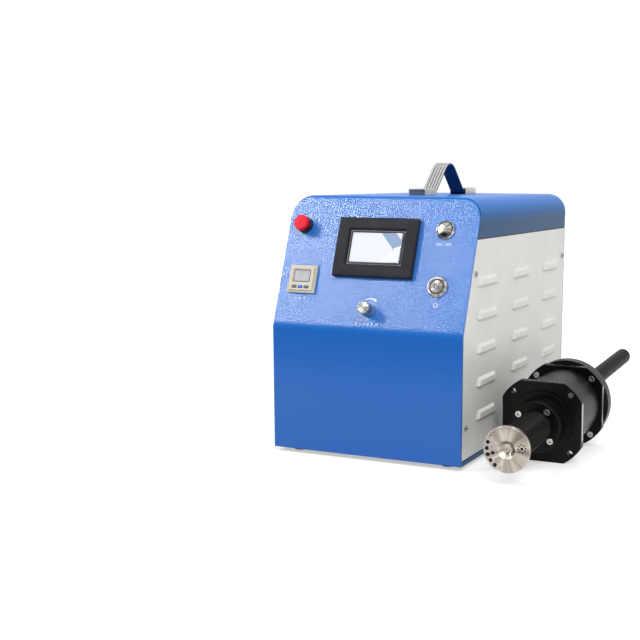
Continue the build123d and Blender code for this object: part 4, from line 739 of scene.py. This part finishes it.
# %% Screen and meter
def flat_frame(name, w, h, r, band, z_low, z_high, at):
    """A flat rectangular band: outer and inner round rectangles at both heights, tied into one closed
    ring."""
    outer, inner = round_box(w, h, r), round_box(w - 2 * band, h - 2 * band, max(r - band, 0.5))
    section = ((outer, z_low), (outer, z_high), (inner, z_high), (inner, z_low))
    rings = [np.column_stack([line + at, np.full(len(line), z)]) for line, z in section]
    points = carry(np.reshape(rings, (-1, 3)), SLOPE)
    return mesh_piece(name, points, grid_faces(len(section), len(outer), tie_rows=True))


stand_in(softened("screen_frame", 0.7), charcoal, "screen_frame")
stand_in(softened("meter_bezel", 0.35), beige, "meter_bezel")
dress(screen, "screen_glass")
dress(charcoal, "screen_housing")
dress(beige, "meter_body")
dress(lcd, "meter_display")
for key, material in (("left", key_grey), ("middle", key_blue), ("right", key_grey)):
    stand_in(softened("meter_key_" + key, 0.35), material, "meter_key_" + key)

glass_top = span("screen_glass", SLOPE)[1][2]
screen_at = spot("screen_glass", SLOPE)[:2]
lit_levels = [(0.0, glass_top), (0.05, glass_top + 0.12)]
active_area = pressed("screen_active_area", round_box(62.0, 33.0, 4.0), lit_levels, SLOPE, screen_at)
join_on(active_area, diffuser_painted_glow, "screen_glass")
seal = flat_frame("screen_seal", 69.8, 40.8, 2.0, 2.2, glass_top, glass_top + 0.3, screen_at)
join_on(seal, black_rubber, "screen_glass")
lcd_low, lcd_high = span("meter_display", SLOPE)
lcd_at, lcd_size = (lcd_low + lcd_high) / 2, lcd_high - lcd_low
lcd_line = flat_frame("meter_display_line", *lcd_size[:2], 1.2, 0.7, lcd_high[2], lcd_high[2] + 0.15,
                      lcd_at[:2])
join_on(lcd_line, charcoal, "meter_display")
print("glass top", round(glass_top, 2), "screen at", screen_at.round(1))

# %% [markdown]
# The screen still wears its protective film. The film lies flat on the left and has come loose at the right,
# where it stands up in facets with a sharp crease between them. The sheet is one surface over (x, y): its
# height is zero on the left and follows the highest of three slanting planes on the right.

# %% Loose film on the screen
FILM_W_MM = 64.8
FILM_H_MM = 35.8
FILM_LIFT_MM = 2.2
FILM_GAP_MM = 0.35
FILM_MM = 0.1


def film_height(x, y):
    """Lift of the film in millimetres: max(0, plane_1, plane_2, plane_3), with planes that lean towards the
    right edge and its two corners."""
    right = 0.15 * (x - 22)
    upper = 0.11 * (x - 14) + 0.10 * (y - 8)
    lower = 0.09 * (x - 16) - 0.09 * (y + 9)
    return np.minimum(np.maximum.reduce([0 * x, right, upper, lower]), FILM_LIFT_MM)


def loose_film():
    """The film as a thin closed sheet: its upper skin, the same skin FILM_MM lower, and a wall that joins
    their outer edges."""
    x, y = np.meshgrid(np.linspace(-1, 1, 90) * FILM_W_MM / 2, np.linspace(-1, 1, 60) * FILM_H_MM / 2)
    upper = np.stack([x, y, glass_top + FILM_GAP_MM + film_height(x, y)], -1)
    rows, columns = x.shape
    faces = grid_faces(rows, columns, tie_columns=False)
    count = rows * columns
    under = [[a + count, d + count, c + count, b + count] for a, b, c, d in faces]
    edge = np.concatenate([np.arange(columns), columns * np.arange(1, rows) + columns - 1,
                           (rows - 1) * columns + np.arange(columns - 2, -1, -1),
                           columns * np.arange(rows - 2, 0, -1)])
    ahead = np.roll(edge, -1)
    walls = np.stack([edge, edge + count, ahead + count, ahead], -1).tolist()
    skin = upper.reshape(-1, 3) + [*screen_at, 0]
    points = np.concatenate([skin, skin - [0, 0, FILM_MM]])
    return mesh_piece("screen_film", carry(points, SLOPE), faces + under + walls)


join_on(shade(loose_film(), 4), film, "screen_glass")

# %% [markdown]
# The two metal buttons are turned parts, so they are profiles swept round their own axis: a profile is a
# line of (radius, height) points whose corners are rounded. The run button's cap is a dome, and the power
# button's is nearly flat. Each cap moves in its bezel, so the two are separate pieces with a gap between.


# %% Metal buttons
def metal_button(prefix, bezel_r, cap_r, cap_top, dome, material):
    """Bezel and cap of a metal push button as two turned pieces on the axis of the CAD button. The cap's face
    is z = cap_top - dome * (r / rim)^2."""
    at = spot(prefix + "_cap", SLOPE)[:2]
    bore = cap_r + 0.15
    bezel = rounded([(bore, -6), (bore, 2.4), (bore + 0.4, 2.7), (bezel_r - 1.0, 2.6), (bezel_r, 1.3),
                     (bezel_r, -0.3), (bore + 0.5, -0.3)], [0.2, 0.2, 0.5, 0.4, 0.1])
    ring = turned(prefix + "_ring", bezel, SLOPE, at, 128, hollow=True)
    stand_in(lathe_map(ring, SLOPE, at), material, prefix + "_bezel")
    r = np.linspace(1, 0, 16)
    top = np.column_stack([r * (cap_r - 0.4), cap_top - dome * r ** 2])
    shoulder = cap_top - dome
    side = rounded([(0, -6), (cap_r, -6), (cap_r, shoulder - 0.5), (cap_r - 0.4, shoulder)], [0.2, 0.25])
    cap = turned(prefix + "_head", np.concatenate([side[:-1], top]), SLOPE, at, 128)
    stand_in(lathe_map(cap, SLOPE, at), material, prefix + "_cap")
    return at


run_at = metal_button("run_button", 11.5, 9.8, 4.5, 1.8, steel_run)
CAP_FACE_MM = 3.2
power_at = metal_button("power_button", 12.5, 8.9, CAP_FACE_MM, 0.4, steel_power)
print("run button at", run_at.round(1), "power button at", power_at.round(1))

# %% [markdown]
# The main power button carries the usual power mark, a broken ring with a bar, etched and filled dark. Both
# caps have a dark groove near their rim, as for a lamp ring. Marks are thin solids that stand a few
# hundredths of a millimetre proud, so that they also exist in the exported meshes. The same mark is printed
# on the panel later, so one function makes it: the ring is open for 70 degrees at the top, and the bar's
# middle stands at bar_up from the ring's centre.

# %% Power mark and lamp rings


def arc_band(name, r_in, r_out, start_deg, end_deg, z0, z1, at):
    """A flat band along an arc: corners at both radii and both heights, swept through the angle."""
    a = np.radians(np.linspace(start_deg, end_deg, 48))
    ray = np.stack([np.cos(a), np.sin(a)], -1)
    section = ((r_in, z0), (r_out, z0), (r_out, z1), (r_in, z1))
    rings = np.stack([np.column_stack([ray * r + at, np.full(len(a), z)]) for r, z in section], 1)
    return lofted(name, rings, SLOPE)


def power_mark(prefix, r_in, r_out, bar, bar_up, z0, z1, at, material, host):
    """A broken ring and a bar, fixed to a host node. bar is (width, height, corner radius)."""
    join_on(arc_band(prefix + "_ring", r_in, r_out, 125, 415, z0, z1, at), material, host)
    stroke = pressed(prefix + "_bar", round_box(*bar), [(0, z0), (0, z1)], SLOPE, at + [0, bar_up])
    join_on(stroke, material, host)


for name, host, at, r_in, r_out, z_top in (
        ("power_lamp_ring", "power_button_cap", power_at, 7.3, 8.85, 3.1),
        ("run_groove", "run_button_cap", run_at, 8.5, 9.7, 3.15)):
    lamp_ring = [(r_in, z_top - 1), (r_out, z_top - 1), (r_out, z_top - 0.3), (r_out - 0.2, z_top - 0.1),
                 (r_in + 0.2, z_top), (r_in, z_top - 0.05)]
    join_on(turned(name, lamp_ring, SLOPE, at, hollow=True), dark_ink, host)
power_mark("power_mark", 2.5, 3.4, (0.9, 3.4, 0.4), 2.4, CAP_FACE_MM - 0.2, CAP_FACE_MM + 0.03, power_at,
           dark_ink, "power_button_cap")

# %% [markdown]
# The red button is a moulded cap with a rounded rim that slides in a black collar. Both are turned shapes,
# so each is one profile of (radius, height) points, and the collar's profile closes on itself.

# %% Red push button
stop_at = spot("stop_button_head", SLOPE)[:2]
head = rounded([(0, 5.4), (4.9, 5.4), (4.9, 8.3), (9.3, 8.3), (9.3, 13.6), (8.6, 14.3), (0, 14.3)],
               [0.2, 0.3, 0.4, 0.5, 0.5])
stand_in(turned("stop_button_cap", head, SLOPE, stop_at), red_gloss, "stop_button_head")
collar = rounded([(5.15, 0), (9.9, 0), (9.9, 4.6), (9.3, 5.0), (5.15, 5.0), (5.15, 0)], [0.2, 0.4, 0.4, 0.3])
stand_in(turned("stop_button_collar", collar, SLOPE, stop_at, hollow=True), black_abs, "stop_button_base")
dress(black_abs, "button_contacts")

# %% [markdown]
# The knob is turned aluminium with eighteen flutes. Its radius is r(z, a) = R(z) - d * max(0, cos 18a)^2:
# the flutes fade out below the rounded top, as a milling cutter leaves them. The top is faced on the lathe,
# so it gets the same ringed finish as the buttons.

# %% Power knob
KNOB_R_MM = 7.5
KNOB_LOW_MM = 1.0
KNOB_TOP_MM = 17.5
FLUTES = 18
FLUTE_MM = 0.75
knob_at = spot("power_knob", SLOPE)[:2]
knob_line = rounded([(0, KNOB_LOW_MM + 0.2), (3.2, KNOB_LOW_MM), (KNOB_R_MM - 0.3, KNOB_LOW_MM),
                     (KNOB_R_MM, KNOB_LOW_MM + 0.5), (KNOB_R_MM, KNOB_TOP_MM - 0.9),
                     (KNOB_R_MM - 0.9, KNOB_TOP_MM), (0, KNOB_TOP_MM)], [0.2, 0.2, 0.2, 0.3, 0.3])
along = np.concatenate([[0], np.cumsum(np.linalg.norm(np.diff(knob_line, axis=0), axis=1))])
steps = np.linspace(0, along[-1], 110)
r, z = np.interp(steps, along, knob_line[:, 0])[:, None], np.interp(steps, along, knob_line[:, 1])[:, None]
a = np.linspace(0, 2 * np.pi, FLUTES * 12, endpoint=False)
cut = np.clip((z - KNOB_LOW_MM - 2.2) / 0.8, 0, 1) * np.clip((r - KNOB_R_MM + 1.1) / 0.5, 0, 1)
fluted = r - FLUTE_MM * cut * np.maximum(0, np.cos(FLUTES * a)) ** 2
points = np.stack([knob_at[0] + fluted * np.cos(a), knob_at[1] + fluted * np.sin(a), z + 0 * a], -1)
knob = mesh_piece("fluted_knob", carry(points, SLOPE), grid_faces(len(steps), len(a)))
stand_in(lathe_map(knob, SLOPE, knob_at), aluminium, "power_knob")
dress(plated, "potentiometer_shaft")

# %% [markdown]
# ## Printed marks
# The controls are labelled in white screen-printed ink, which lies on the paint as a thin raised layer.
# Only general marks are used: a turning arrow and a
# scale for the knob, ON and OFF for the run button, a power mark, and plus and minus for the meter's keys.
# Words are font curves. They are made a mesh while they still lie flat at the origin, then carried.

# %% Ink on the panel
INK_MM = 0.06


def printed(name, words, at, height_mm, spacing=1.0):
    """Words as a thin mesh on the slanted panel, centred on a place in panel millimetres."""
    curve = bpy.data.curves.new(name, "FONT")
    curve.body = words
    curve.align_x = "CENTER"
    curve.align_y = "CENTER"
    curve.size = height_mm / 0.7
    curve.space_character = spacing
    curve.extrude = INK_MM / 2
    curve.resolution_u = 3
    lettering = bpy.data.objects.new(name + "_curve", curve)
    bpy.context.scene.collection.objects.link(lettering)
    bpy.context.view_layer.update()
    mesh = bpy.data.meshes.new_from_object(lettering.evaluated_get(bpy.context.evaluated_depsgraph_get()))
    bpy.data.objects.remove(lettering)
    mesh.vertices.foreach_set("co", carry(vertex_places(mesh) + [*at, INK_MM / 2], SLOPE).ravel())
    mesh.update()
    piece = bpy.data.objects.new(name, mesh)
    bpy.context.scene.collection.objects.link(piece)
    return join_on(piece, ink, "screen_frame")


printed("run_mark", "ON / OFF", run_at + [0.5, -17.5], 2.9, 1.15)
printed("knob_scale", "0  2  4  6  8  10", knob_at + [0, -16.0], 2.9, 1.1)
printed("meter_mark", "-   o   +", spot("meter_bezel", SLOPE)[:2] + [0, -23.0], 3.0)

mark_at = power_at + [1.0, -21.5]
power_mark("main_mark", 2.3, 2.9, (0.6, 2.9, 0.25), 2.3, 0, INK_MM, mark_at, ink, "screen_frame")

# %% [markdown]
# The turning arrow is a band along an arc about the knob. It gets wider towards its head, and the head is a
# triangle whose tip lies on the same arc.

# %% Turning arrow
ARROW_R_MM = 14.5
ARROW_START_DEG = 118.0
ARROW_SWEEP_DEG = 52.0
HEAD_SWEEP_DEG = 13.0
HEAD_HALF_MM = 1.9
t = np.linspace(0, 1, 24)[:, None]
sweep = np.radians(ARROW_START_DEG - ARROW_SWEEP_DEG * t)
wide = 0.25 + 0.55 * t
ray = np.concatenate([np.cos(sweep), np.sin(sweep)], 1)
inner, outer = knob_at + ray * (ARROW_R_MM - wide), knob_at + ray * (ARROW_R_MM + wide)
tip_turn = math.radians(ARROW_START_DEG - ARROW_SWEEP_DEG - HEAD_SWEEP_DEG)
tip = knob_at + ARROW_R_MM * np.array([[math.cos(tip_turn), math.sin(tip_turn)]])
barbs = knob_at + ray[-1:] * (ARROW_R_MM + np.array([[HEAD_HALF_MM], [-HEAD_HALF_MM]]))
outline = np.concatenate([outer, barbs[:1], tip, barbs[1:], inner[::-1]])
flat = np.column_stack([outline, np.zeros(len(outline))])
join_on(lofted("turning_arrow", np.stack([flat, flat + [0, 0, INK_MM]]), SLOPE), ink, "screen_frame")

# %% [markdown]
# ## The gun
# The plates are milled and anodised after deburring, so each edge is a narrow pale line. Copies of the CAD
# plates with small bevels give that. The bearings, the motor and the electrode inside, and with them the
# transformer of the generator, keep their shape and get a finish: plated steel, ferrite, copper, alumina.

# %% Gun body
for name, width, material in (("gun_front_plate", 0.5, anodised), ("gun_rear_plate", 0.5, anodised),
                              ("gun_boss", 0.4, anodised), ("gun_body_tube", 0.3, body_dark),
                              ("gun_rear_cap", 1.0, body_dark), ("gun_rear_tube", 0.6, sleeve),
                              ("gun_bolts", 0.25, satin_nickel)):
    stand_in(softened(name, width), material, name)
dress(plated, "gun_bearings", "gun_spindle")
dress(ferrite, "gun_motor_stator", "gun_motor_rotor", "transformer_core")
dress(copper, "electrode", "transformer_coils")
dress(alumina, "electrode_holder")

# %% [markdown]
# The tube between boss and nozzle is threaded along its whole length, so it is a surface whose radius
# follows the thread: r(z, a) = R - d * (1 + cos(2 pi z / p - a)) / 2. A plain collar locks the disc to it.

# %% Threaded nozzle tube
THREAD_PITCH_MM = 2.2
THREAD_DEPTH_MM = 0.8
TUBE_R_MM = 19.5
TUBE_START_MM = 25.6
TUBE_END_MM = 111.6
z = np.arange(TUBE_START_MM, TUBE_END_MM, THREAD_PITCH_MM / 7)[:, None]
a = np.linspace(0, 2 * np.pi, 96, endpoint=False)
r = TUBE_R_MM - THREAD_DEPTH_MM * (1 + np.cos(2 * np.pi * z / THREAD_PITCH_MM - a)) / 2
thread = np.stack([r * np.cos(a), r * np.sin(a), z + 0 * a], -1)
stand_in(lofted("threaded_tube", thread, GUN), anodised, "nozzle_tube")
DISC_BACK_MM = 120.3
collar = rounded([(10, TUBE_END_MM), (23.4, TUBE_END_MM), (24, 112.2), (24, 119.8), (23.5, DISC_BACK_MM),
                  (10, DISC_BACK_MM), (10, TUBE_END_MM)], [0.2, 0.2, 0.2, 0.2, 0.2])
stand_in(turned("black_collar", collar, GUN, hollow=True), anodised, "nozzle_collar")
print("thread turns", round((TUBE_END_MM - TUBE_START_MM) / THREAD_PITCH_MM, 1))

# %% [markdown]
# Small hardware sits in the rims of both plates: grub screws along the top edges, a bright locking strip in
# the right edge, and a dowel end beside the boss. Each is placed in the gun's own millimetres. They are
# small closed solids and not painted dots, because each catches a highlight of its own.

# %% Small hardware of the gun
STRIP_W_MM = 4.0
STRIP_L_MM = 46.0
GRUBS = ((-17.0, 1.3), (9.0, 1.5), (15.0, 1.0), (20.0, 1.3), (-6.0, 0.8))
plate_half = (span("gun_front_plate", GUN)[1] - span("gun_front_plate", GUN)[0])[0] / 2
for name in ("gun_front_plate", "gun_rear_plate"):
    low, high = span(name, GUN)
    depth = (low[2] + high[2]) / 2
    strip = round_box(STRIP_W_MM, STRIP_L_MM, 1.9)
    rings = [np.column_stack([np.full(len(strip), x), strip[:, 1] * s + 2.0, strip[:, 0] * s + depth])
             for x, s in ((plate_half - 1.0, 1.0), (plate_half, 1.0), (plate_half + 0.12, 0.97))]
    join_on(lofted(name + "_strip", rings, GUN), satin_nickel, name)
    for i, (x, r) in enumerate(GRUBS):
        a = np.linspace(0, 2 * np.pi, 20, endpoint=False)
        rings = [np.column_stack([x + r * s * np.cos(a), np.full(len(a), y), depth + r * s * np.sin(a)])
                 for y, s in ((high[1] - 1.0, 1.0), (high[1] + 0.05, 1.0), (high[1] + 0.12, 0.8))]
        join_on(lofted(f"{name}_grub_{i}", rings, GUN), plated, name)
dot = rounded([(0, -0.5), (1.1, -0.5), (1.1, 0.3), (0.8, 0.5), (0, 0.5)], [0.1, 0.15, 0.15])
join_on(turned("dowel_end", dot, GUN, (20.5, -24.6), 24), chrome, "gun_front_plate")

# %% [markdown]
# The nozzle disc is faced on a lathe and then drilled: a shallow bowl with a slanting jet in it, a ring of
# nine small vents on the right, and a row of balancing holes on the left, some of which are filled with
# bright steel plugs. The blank is turned from its profile, and one Boolean takes out all holes together.

# %% Nozzle disc
DISC_R_MM = 26.5
BOWL_R_MM = 10.5
BOWL_FLOOR_R_MM = 5.8
BOWL_MM = 4.8
VENTS_AT = np.array([18.2, 3.2])
VENT_RING_R_MM = 4.3
BALANCE_R_MM = 22.2
HOLE_DEPTH_MM = 3.5
DRILL_SIDES = 24


def drill(at, radius, depth, lean_deg=0.0):
    """Path of a drill: a cylinder from above the disc's face to its depth, leaning along y by lean_deg."""
    a = np.linspace(0, 2 * np.pi, DRILL_SIDES, endpoint=False)
    z = np.array([[DISC_FACE_MM + 1.0], [DISC_FACE_MM - depth]])
    drift = math.tan(math.radians(lean_deg)) * (DISC_FACE_MM - z)
    return np.stack([at[0] + radius * np.cos(a) + 0 * z, at[1] + radius * np.sin(a) + drift, z + 0 * a], -1)


def on_circle(radius, degrees):
    """A place on a circle about the disc's axis."""
    return radius * math.cos(math.radians(degrees)), radius * math.sin(math.radians(degrees))


bowl_floor = DISC_FACE_MM - BOWL_MM
disc_line = rounded([(0, bowl_floor), (BOWL_FLOOR_R_MM, bowl_floor), (BOWL_R_MM, DISC_FACE_MM),
                     (DISC_R_MM, DISC_FACE_MM), (DISC_R_MM, DISC_BACK_MM), (0, DISC_BACK_MM)],
                    [1.0, 0.5, 0.8, 0.4])
blank = turned("nozzle_face", disc_line, GUN, steps=160)

balance = [on_circle(BALANCE_R_MM, 143.0 + 18.4 * i) for i in range(7)]
plugged = {0: 1.7, 6: 1.7}
inner_hole = on_circle(15.9, 196.8)
dowels = [on_circle(15.6, 174), on_circle(16.2, 225)]
vents = [VENTS_AT + on_circle(VENT_RING_R_MM, 12 + 45 * i) for i in range(8)]
holes = [drill(at, plugged.get(i, 2.25), HOLE_DEPTH_MM) for i, at in enumerate(balance)]
holes += [drill(inner_hole, 2.1, HOLE_DEPTH_MM), *(drill(at, 1.3, 2.5) for at in dowels)]
holes += [drill(at, 1.0, 3.0) for at in vents]
holes += [drill(VENTS_AT, 1.7, 3.0), drill((0.9, -2.2), 2.3, 6.0, -22)]
one_path = np.array(grid_faces(2, DRILL_SIDES)), np.arange(2 * DRILL_SIDES).reshape(2, -1)
cutter_faces = [face for i in range(len(holes)) for part in one_path
                for face in (part + 2 * DRILL_SIDES * i).tolist()]
cutter = mesh_piece("drill_paths", carry(np.array(holes).reshape(-1, 3), GUN), cutter_faces)
carve = blank.modifiers.new("drilled", "BOOLEAN")
carve.operation = "DIFFERENCE"
carve.solver = "EXACT"
carve.object = cutter
bpy.context.view_layer.update()
drilled = bpy.data.meshes.new_from_object(blank.evaluated_get(bpy.context.evaluated_depsgraph_get()))
blank.modifiers.clear()
blank.data = drilled
bpy.data.objects.remove(cutter)
stand_in(lathe_map(shade(blank), GUN), faced, "nozzle_disc")
print("nozzle disc faces", len(drilled.polygons))

# %% [markdown]
# A deep hole looks black because hardly any light comes back out of it. The drilled holes are shallow here,
# so a thin black disc lies in each one just below the face, which gives the same look with few faces. Two
# holes of the row are filled with bright plugs, and two smaller ones with dowel ends.

# %% Hole floors, plugs and dowels
pit_low, pit_high = DISC_FACE_MM - 1.5, DISC_FACE_MM - 0.9
pit_line = np.array([(0, pit_low), (1, pit_low), (1, pit_high), (0, pit_high)])
pits = [(at, 2.2) for i, at in enumerate(balance) if i not in plugged]
pits += [(inner_hole, 2.05), (VENTS_AT, 1.65)]
pits += [(at, 0.97) for at in vents]
for i, (at, radius) in enumerate(pits):
    join_on(turned(f"hole_shadow_{i}", pit_line * [radius, 1], GUN, at, 24), anodised, "nozzle_disc")

plug_line = rounded([(0, DISC_FACE_MM - 2.0), (1.65, DISC_FACE_MM - 2.0), (1.65, DISC_FACE_MM - 0.6),
                     (0, DISC_FACE_MM - 0.1)], [0.2, 0.2])
for i in plugged:
    join_on(turned(f"balance_plug_{i}", plug_line, GUN, balance[i], 24), chrome, "nozzle_disc")
for i, at in enumerate(dowels):
    join_on(turned(f"dowel_end_{i}", plug_line * [0.77, 1.0], GUN, at, 24), chrome, "nozzle_disc")

# %% [markdown]
# ## The back
# The rear is what a bench shows when the set is turned round: a finger guard of bent wire over the fan, the
# mains inlet, the gas fitting and the socket for the gun's lead. Wire rings are tori: the centre line turns
# about the fan's axis and the wire's own circle turns about the centre line.

# %% Fan guard
WIRE_R_MM = 1.1
GUARD_OUT_MM = 3.0
GUARD_EYE_MM = 105 / math.sqrt(2)
ARM_IN_MM = 8.0
ARM_SHORT_MM = 3.6
ARM_UNDER_MM = 1.3
fan_at = spot("fan_guard", REAR)[:2]
b = np.linspace(0, 2 * np.pi, 12, endpoint=False)
for i, ring_r in enumerate(np.linspace(10.0, 58.5, 5)):
    wire = np.column_stack([ring_r + WIRE_R_MM * np.cos(b), GUARD_OUT_MM + WIRE_R_MM * np.sin(b)])
    ring = turned(f"guard_ring_{i}", wire, REAR, fan_at, hollow=True)
    if i == 0:
        stand_in(ring, chrome, "fan_guard")
    else:
        join_on(ring, chrome, "fan_guard")
eye = rounded([(2.15, 0.2), (4.2, 0.2), (4.2, 3.9), (2.15, 3.9), (2.15, 0.2)], [0.3, 0.3, 0.3])
for i, turn in enumerate(np.radians([45, 135, 225, 315])):
    ray, side = np.array([math.cos(turn), math.sin(turn)]), np.array([-math.sin(turn), math.cos(turn)])
    rings = [np.column_stack([fan_at + ray * s + np.outer(np.cos(b) * WIRE_R_MM, side),
                              GUARD_OUT_MM - ARM_UNDER_MM + WIRE_R_MM * np.sin(b)])
             for s in (ARM_IN_MM, GUARD_EYE_MM - ARM_SHORT_MM)]
    join_on(lofted(f"guard_arm_{i}", rings, REAR), chrome, "fan_guard")
    loop = turned(f"guard_eye_{i}", eye, REAR, fan_at + ray * GUARD_EYE_MM, 32, hollow=True)
    join_on(loop, chrome, "fan_guard")

# %% [markdown]
# The mains inlet is moulded nylon, the gun's socket is a plated casting and the gas fitting is turned brass.
# Their shapes are right already, so copies with softened edges are enough. The fan, the pins and the pieces
# inside, which show only through openings, get a finish each.

# %% Rear fittings and inner pieces
stand_in(softened("mains_inlet", 0.5), black_abs, "mains_inlet")
stand_in(softened("gun_socket", 0.5), plated, "gun_socket")
stand_in(softened("gas_inlet", 0.4), brass, "gas_inlet")
dress(black_abs, "fan_frame", "fan_rotor")
dress(brass, "gas_valve", "contact_pins")
dress(board_green, "control_board")

# %% [markdown]
# ## The studio
# The floor is white paper that runs out of the picture, and the air behind it is white. For the camera, and
# in reflections, the paper glows a little, so that it reads as white and still keeps the object's shadow.

# %% Floor and air
FLOOR_GLOW = 0.5
AIR_FOR_OBJECT = 0.50
GLOW_NEAR_M = 0.5
GLOW_FAR_M = 2.0
floor_z = float(cad_box[0][2])
floor = mesh_piece("studio_floor", [(-6, -6, floor_z), (6, -6, floor_z), (6, 8, floor_z), (-6, 8, floor_z)],
                   [[0, 1, 2, 3]])
paper, tree, shader = finish("studio_paper_white", "#D6D6D6", 0.9, Specular_IOR_Level=0.1)
floor.data.materials.append(paper)


def seen_directly(tree):
    """1 for rays from the camera and for reflected and refracted ones, else 0."""
    path = add(tree, "ShaderNodeLightPath")
    eye_ray, mirror_ray, glass_ray = (path.outputs[f"Is {kind} Ray"]
                                      for kind in ("Camera", "Glossy", "Transmission"))
    either = add(tree, "ShaderNodeMath", links={0: eye_ray, 1: mirror_ray}, operation="MAXIMUM")
    return add(tree, "ShaderNodeMath", links={0: either, 1: glass_ray}, operation="MAXIMUM")


away = add(tree, "ShaderNodeVectorMath", links={0: object_place(tree)}, operation="LENGTH").outputs["Value"]
level = add(tree, "ShaderNodeMapRange", {"From Min": GLOW_NEAR_M, "From Max": GLOW_FAR_M,
                                         "To Min": FLOOR_GLOW, "To Max": 1.0}, {"Value": away})
glow = add(tree, "ShaderNodeMath", links={0: seen_directly(tree), 1: level}, operation="MULTIPLY")
tree.links.new(glow.outputs[0], shader.inputs["Emission Strength"])
shader.inputs["Emission Color"].default_value = (1, 1, 1, 1)

world = bpy.data.worlds.new("studio_air")
bpy.context.scene.world = world
world.use_nodes = True
air = world.node_tree.nodes["Background"]
air.inputs["Color"].default_value = (1, 1, 1, 1)
strength = add(world.node_tree, "ShaderNodeMapRange", {"To Min": AIR_FOR_OBJECT, "To Max": 1.0},
               {"Value": seen_directly(world.node_tree)})
world.node_tree.links.new(strength.outputs["Result"], air.inputs["Strength"])

# %% [markdown]
# Three soft square lamps light the set: a small key lamp at the left, which gives the shadows of the controls
# their direction, a larger fill at the right for the white side, and a broad one from above for the cover.


# %% Lamps
def lamp(name, place, size, power, target=(0.0, -0.1, 0.16)):
    """A square soft lamp that faces the object: place and size in metres, power in watts."""
    data = bpy.data.lights.new(name, "AREA")
    data.shape = "SQUARE"
    data.size = size
    data.energy = power
    light = bpy.data.objects.new(name, data)
    bpy.context.scene.collection.objects.link(light)
    light.location = place
    light.rotation_euler = (Vector(target) - Vector(place)).to_track_quat("-Z", "Y").to_euler()


lamp("key_lamp", (-1.75, -1.4, 1.7), 0.5, 25)
lamp("fill_lamp", (1.3, -1.7, 1.9), 0.8, 30)
lamp("top_lamp", (0.3, 0.6, 2.2), 1.4, 12)

# %% [markdown]
# Bright metal in an all-white room looks like white paint. Photographers therefore stand black cards round
# it, just outside the picture, and their reflections draw the dark lines that make metal look like metal.
# Here they are one upright card behind the camera and one that lies on the floor before the set. They show
# in reflections only, so they neither darken the floor nor hide the object from another camera.

# %% Black cards
CARD_Y_M = -3.0
CARD_TOP_M = 1.5
card_black, tree, shader = finish("black_card", "#141416", 0.9, Specular_IOR_Level=0.0)


def card_for_reflections(name, points, material):
    """A rectangle that only reflections see."""
    card = mesh_piece(name, points, [[0, 1, 2, 3]])
    card.data.materials.append(material)
    card.visible_camera = False
    card.visible_diffuse = False
    card.visible_shadow = False
    card.visible_transmission = False


card_for_reflections("card_upright", [(-3.4, CARD_Y_M, 0), (2.4, CARD_Y_M, 0), (2.4, CARD_Y_M, CARD_TOP_M),
                                      (-3.4, CARD_Y_M, CARD_TOP_M)], card_black)
low_z = floor_z + MM
card_for_reflections("card_flat", [(-1.6, CARD_Y_M, low_z), (1.6, CARD_Y_M, low_z), (1.6, -0.8, low_z),
                                   (-1.6, -0.8, low_z)], card_black)

# %% [markdown]
# The pale sheen on the upper left of the slanted panel is the picture of a lamp, torn into glints by the
# orange peel. A bright card beside the key lamp makes it. It hangs where the panel's left half would mirror
# it to the camera, and the right half would just miss it, so the sheen fades from left to right.

# %% Bright card
SHEEN_AT_M = np.array([-1.85, -1.30, 1.45])
SHEEN_HALF_M = 0.30
card_bright, tree, shader = finish("bright_card", "#FFFFFF", 0.9, Emission_Color=(1, 1, 1, 1),
                                   Emission_Strength=26.0)
aim = SLOPE[0] - SHEEN_AT_M
aim /= np.linalg.norm(aim)
wide = np.cross(aim, UP)
wide /= np.linalg.norm(wide)
tall = np.cross(wide, aim)
corners = [SHEEN_AT_M + SHEEN_HALF_M * (sx * wide + sy * tall)
           for sx, sy in ((-1, -1), (1, -1), (1, 1), (-1, 1))]
card_for_reflections("card_sheen", corners, card_bright)

# %% [markdown]
# ## The camera
# It stands where the photographer stood: to the right of the set and a little above it, level to within
# half a degree. The place and the angles were found by matching the housing's corners and seams. The picture
# is a crop from a wider frame, so the lens is shifted rather than turned: turning it would bend the uprights
# towards each other in a way that the picture doesn't show.

# %% Camera
VIEW_FROM_MM = (584.8, -1183.7, 331.6)
TURN_DEG = 23.89
DOWN_DEG = 10.06
ROLL_DEG = 0.35
FOCAL_PX = 1136.6
CENTRE_PX = (411.0, 376.5)
PICTURE_PX = 640
SENSOR_MM = 36.0

turn, down, roll = (math.radians(angle) for angle in (TURN_DEG, DOWN_DEG, ROLL_DEG))
forward = Vector((-math.sin(turn) * math.cos(down), math.cos(turn) * math.cos(down), -math.sin(down)))
level = Vector((math.cos(turn), math.sin(turn), 0))
upright = level.cross(forward)
side = level * math.cos(roll) + upright * math.sin(roll)
up = upright * math.cos(roll) - level * math.sin(roll)
lens = bpy.data.cameras.new("photo_camera")
lens.sensor_width = SENSOR_MM
lens.lens = FOCAL_PX / PICTURE_PX * SENSOR_MM
lens.shift_x = (PICTURE_PX / 2 - CENTRE_PX[0]) / PICTURE_PX
lens.shift_y = (CENTRE_PX[1] - PICTURE_PX / 2) / PICTURE_PX
camera = bpy.data.objects.new("photo_camera", lens)
bpy.context.scene.collection.objects.link(camera)
axes = Matrix((side, up, -forward)).transposed().to_4x4()
camera.matrix_world = Matrix.Translation(carry(VIEW_FROM_MM, UPRIGHT)) @ axes
bpy.context.scene.camera = camera
bpy.context.scene.view_settings.view_transform = "Standard"
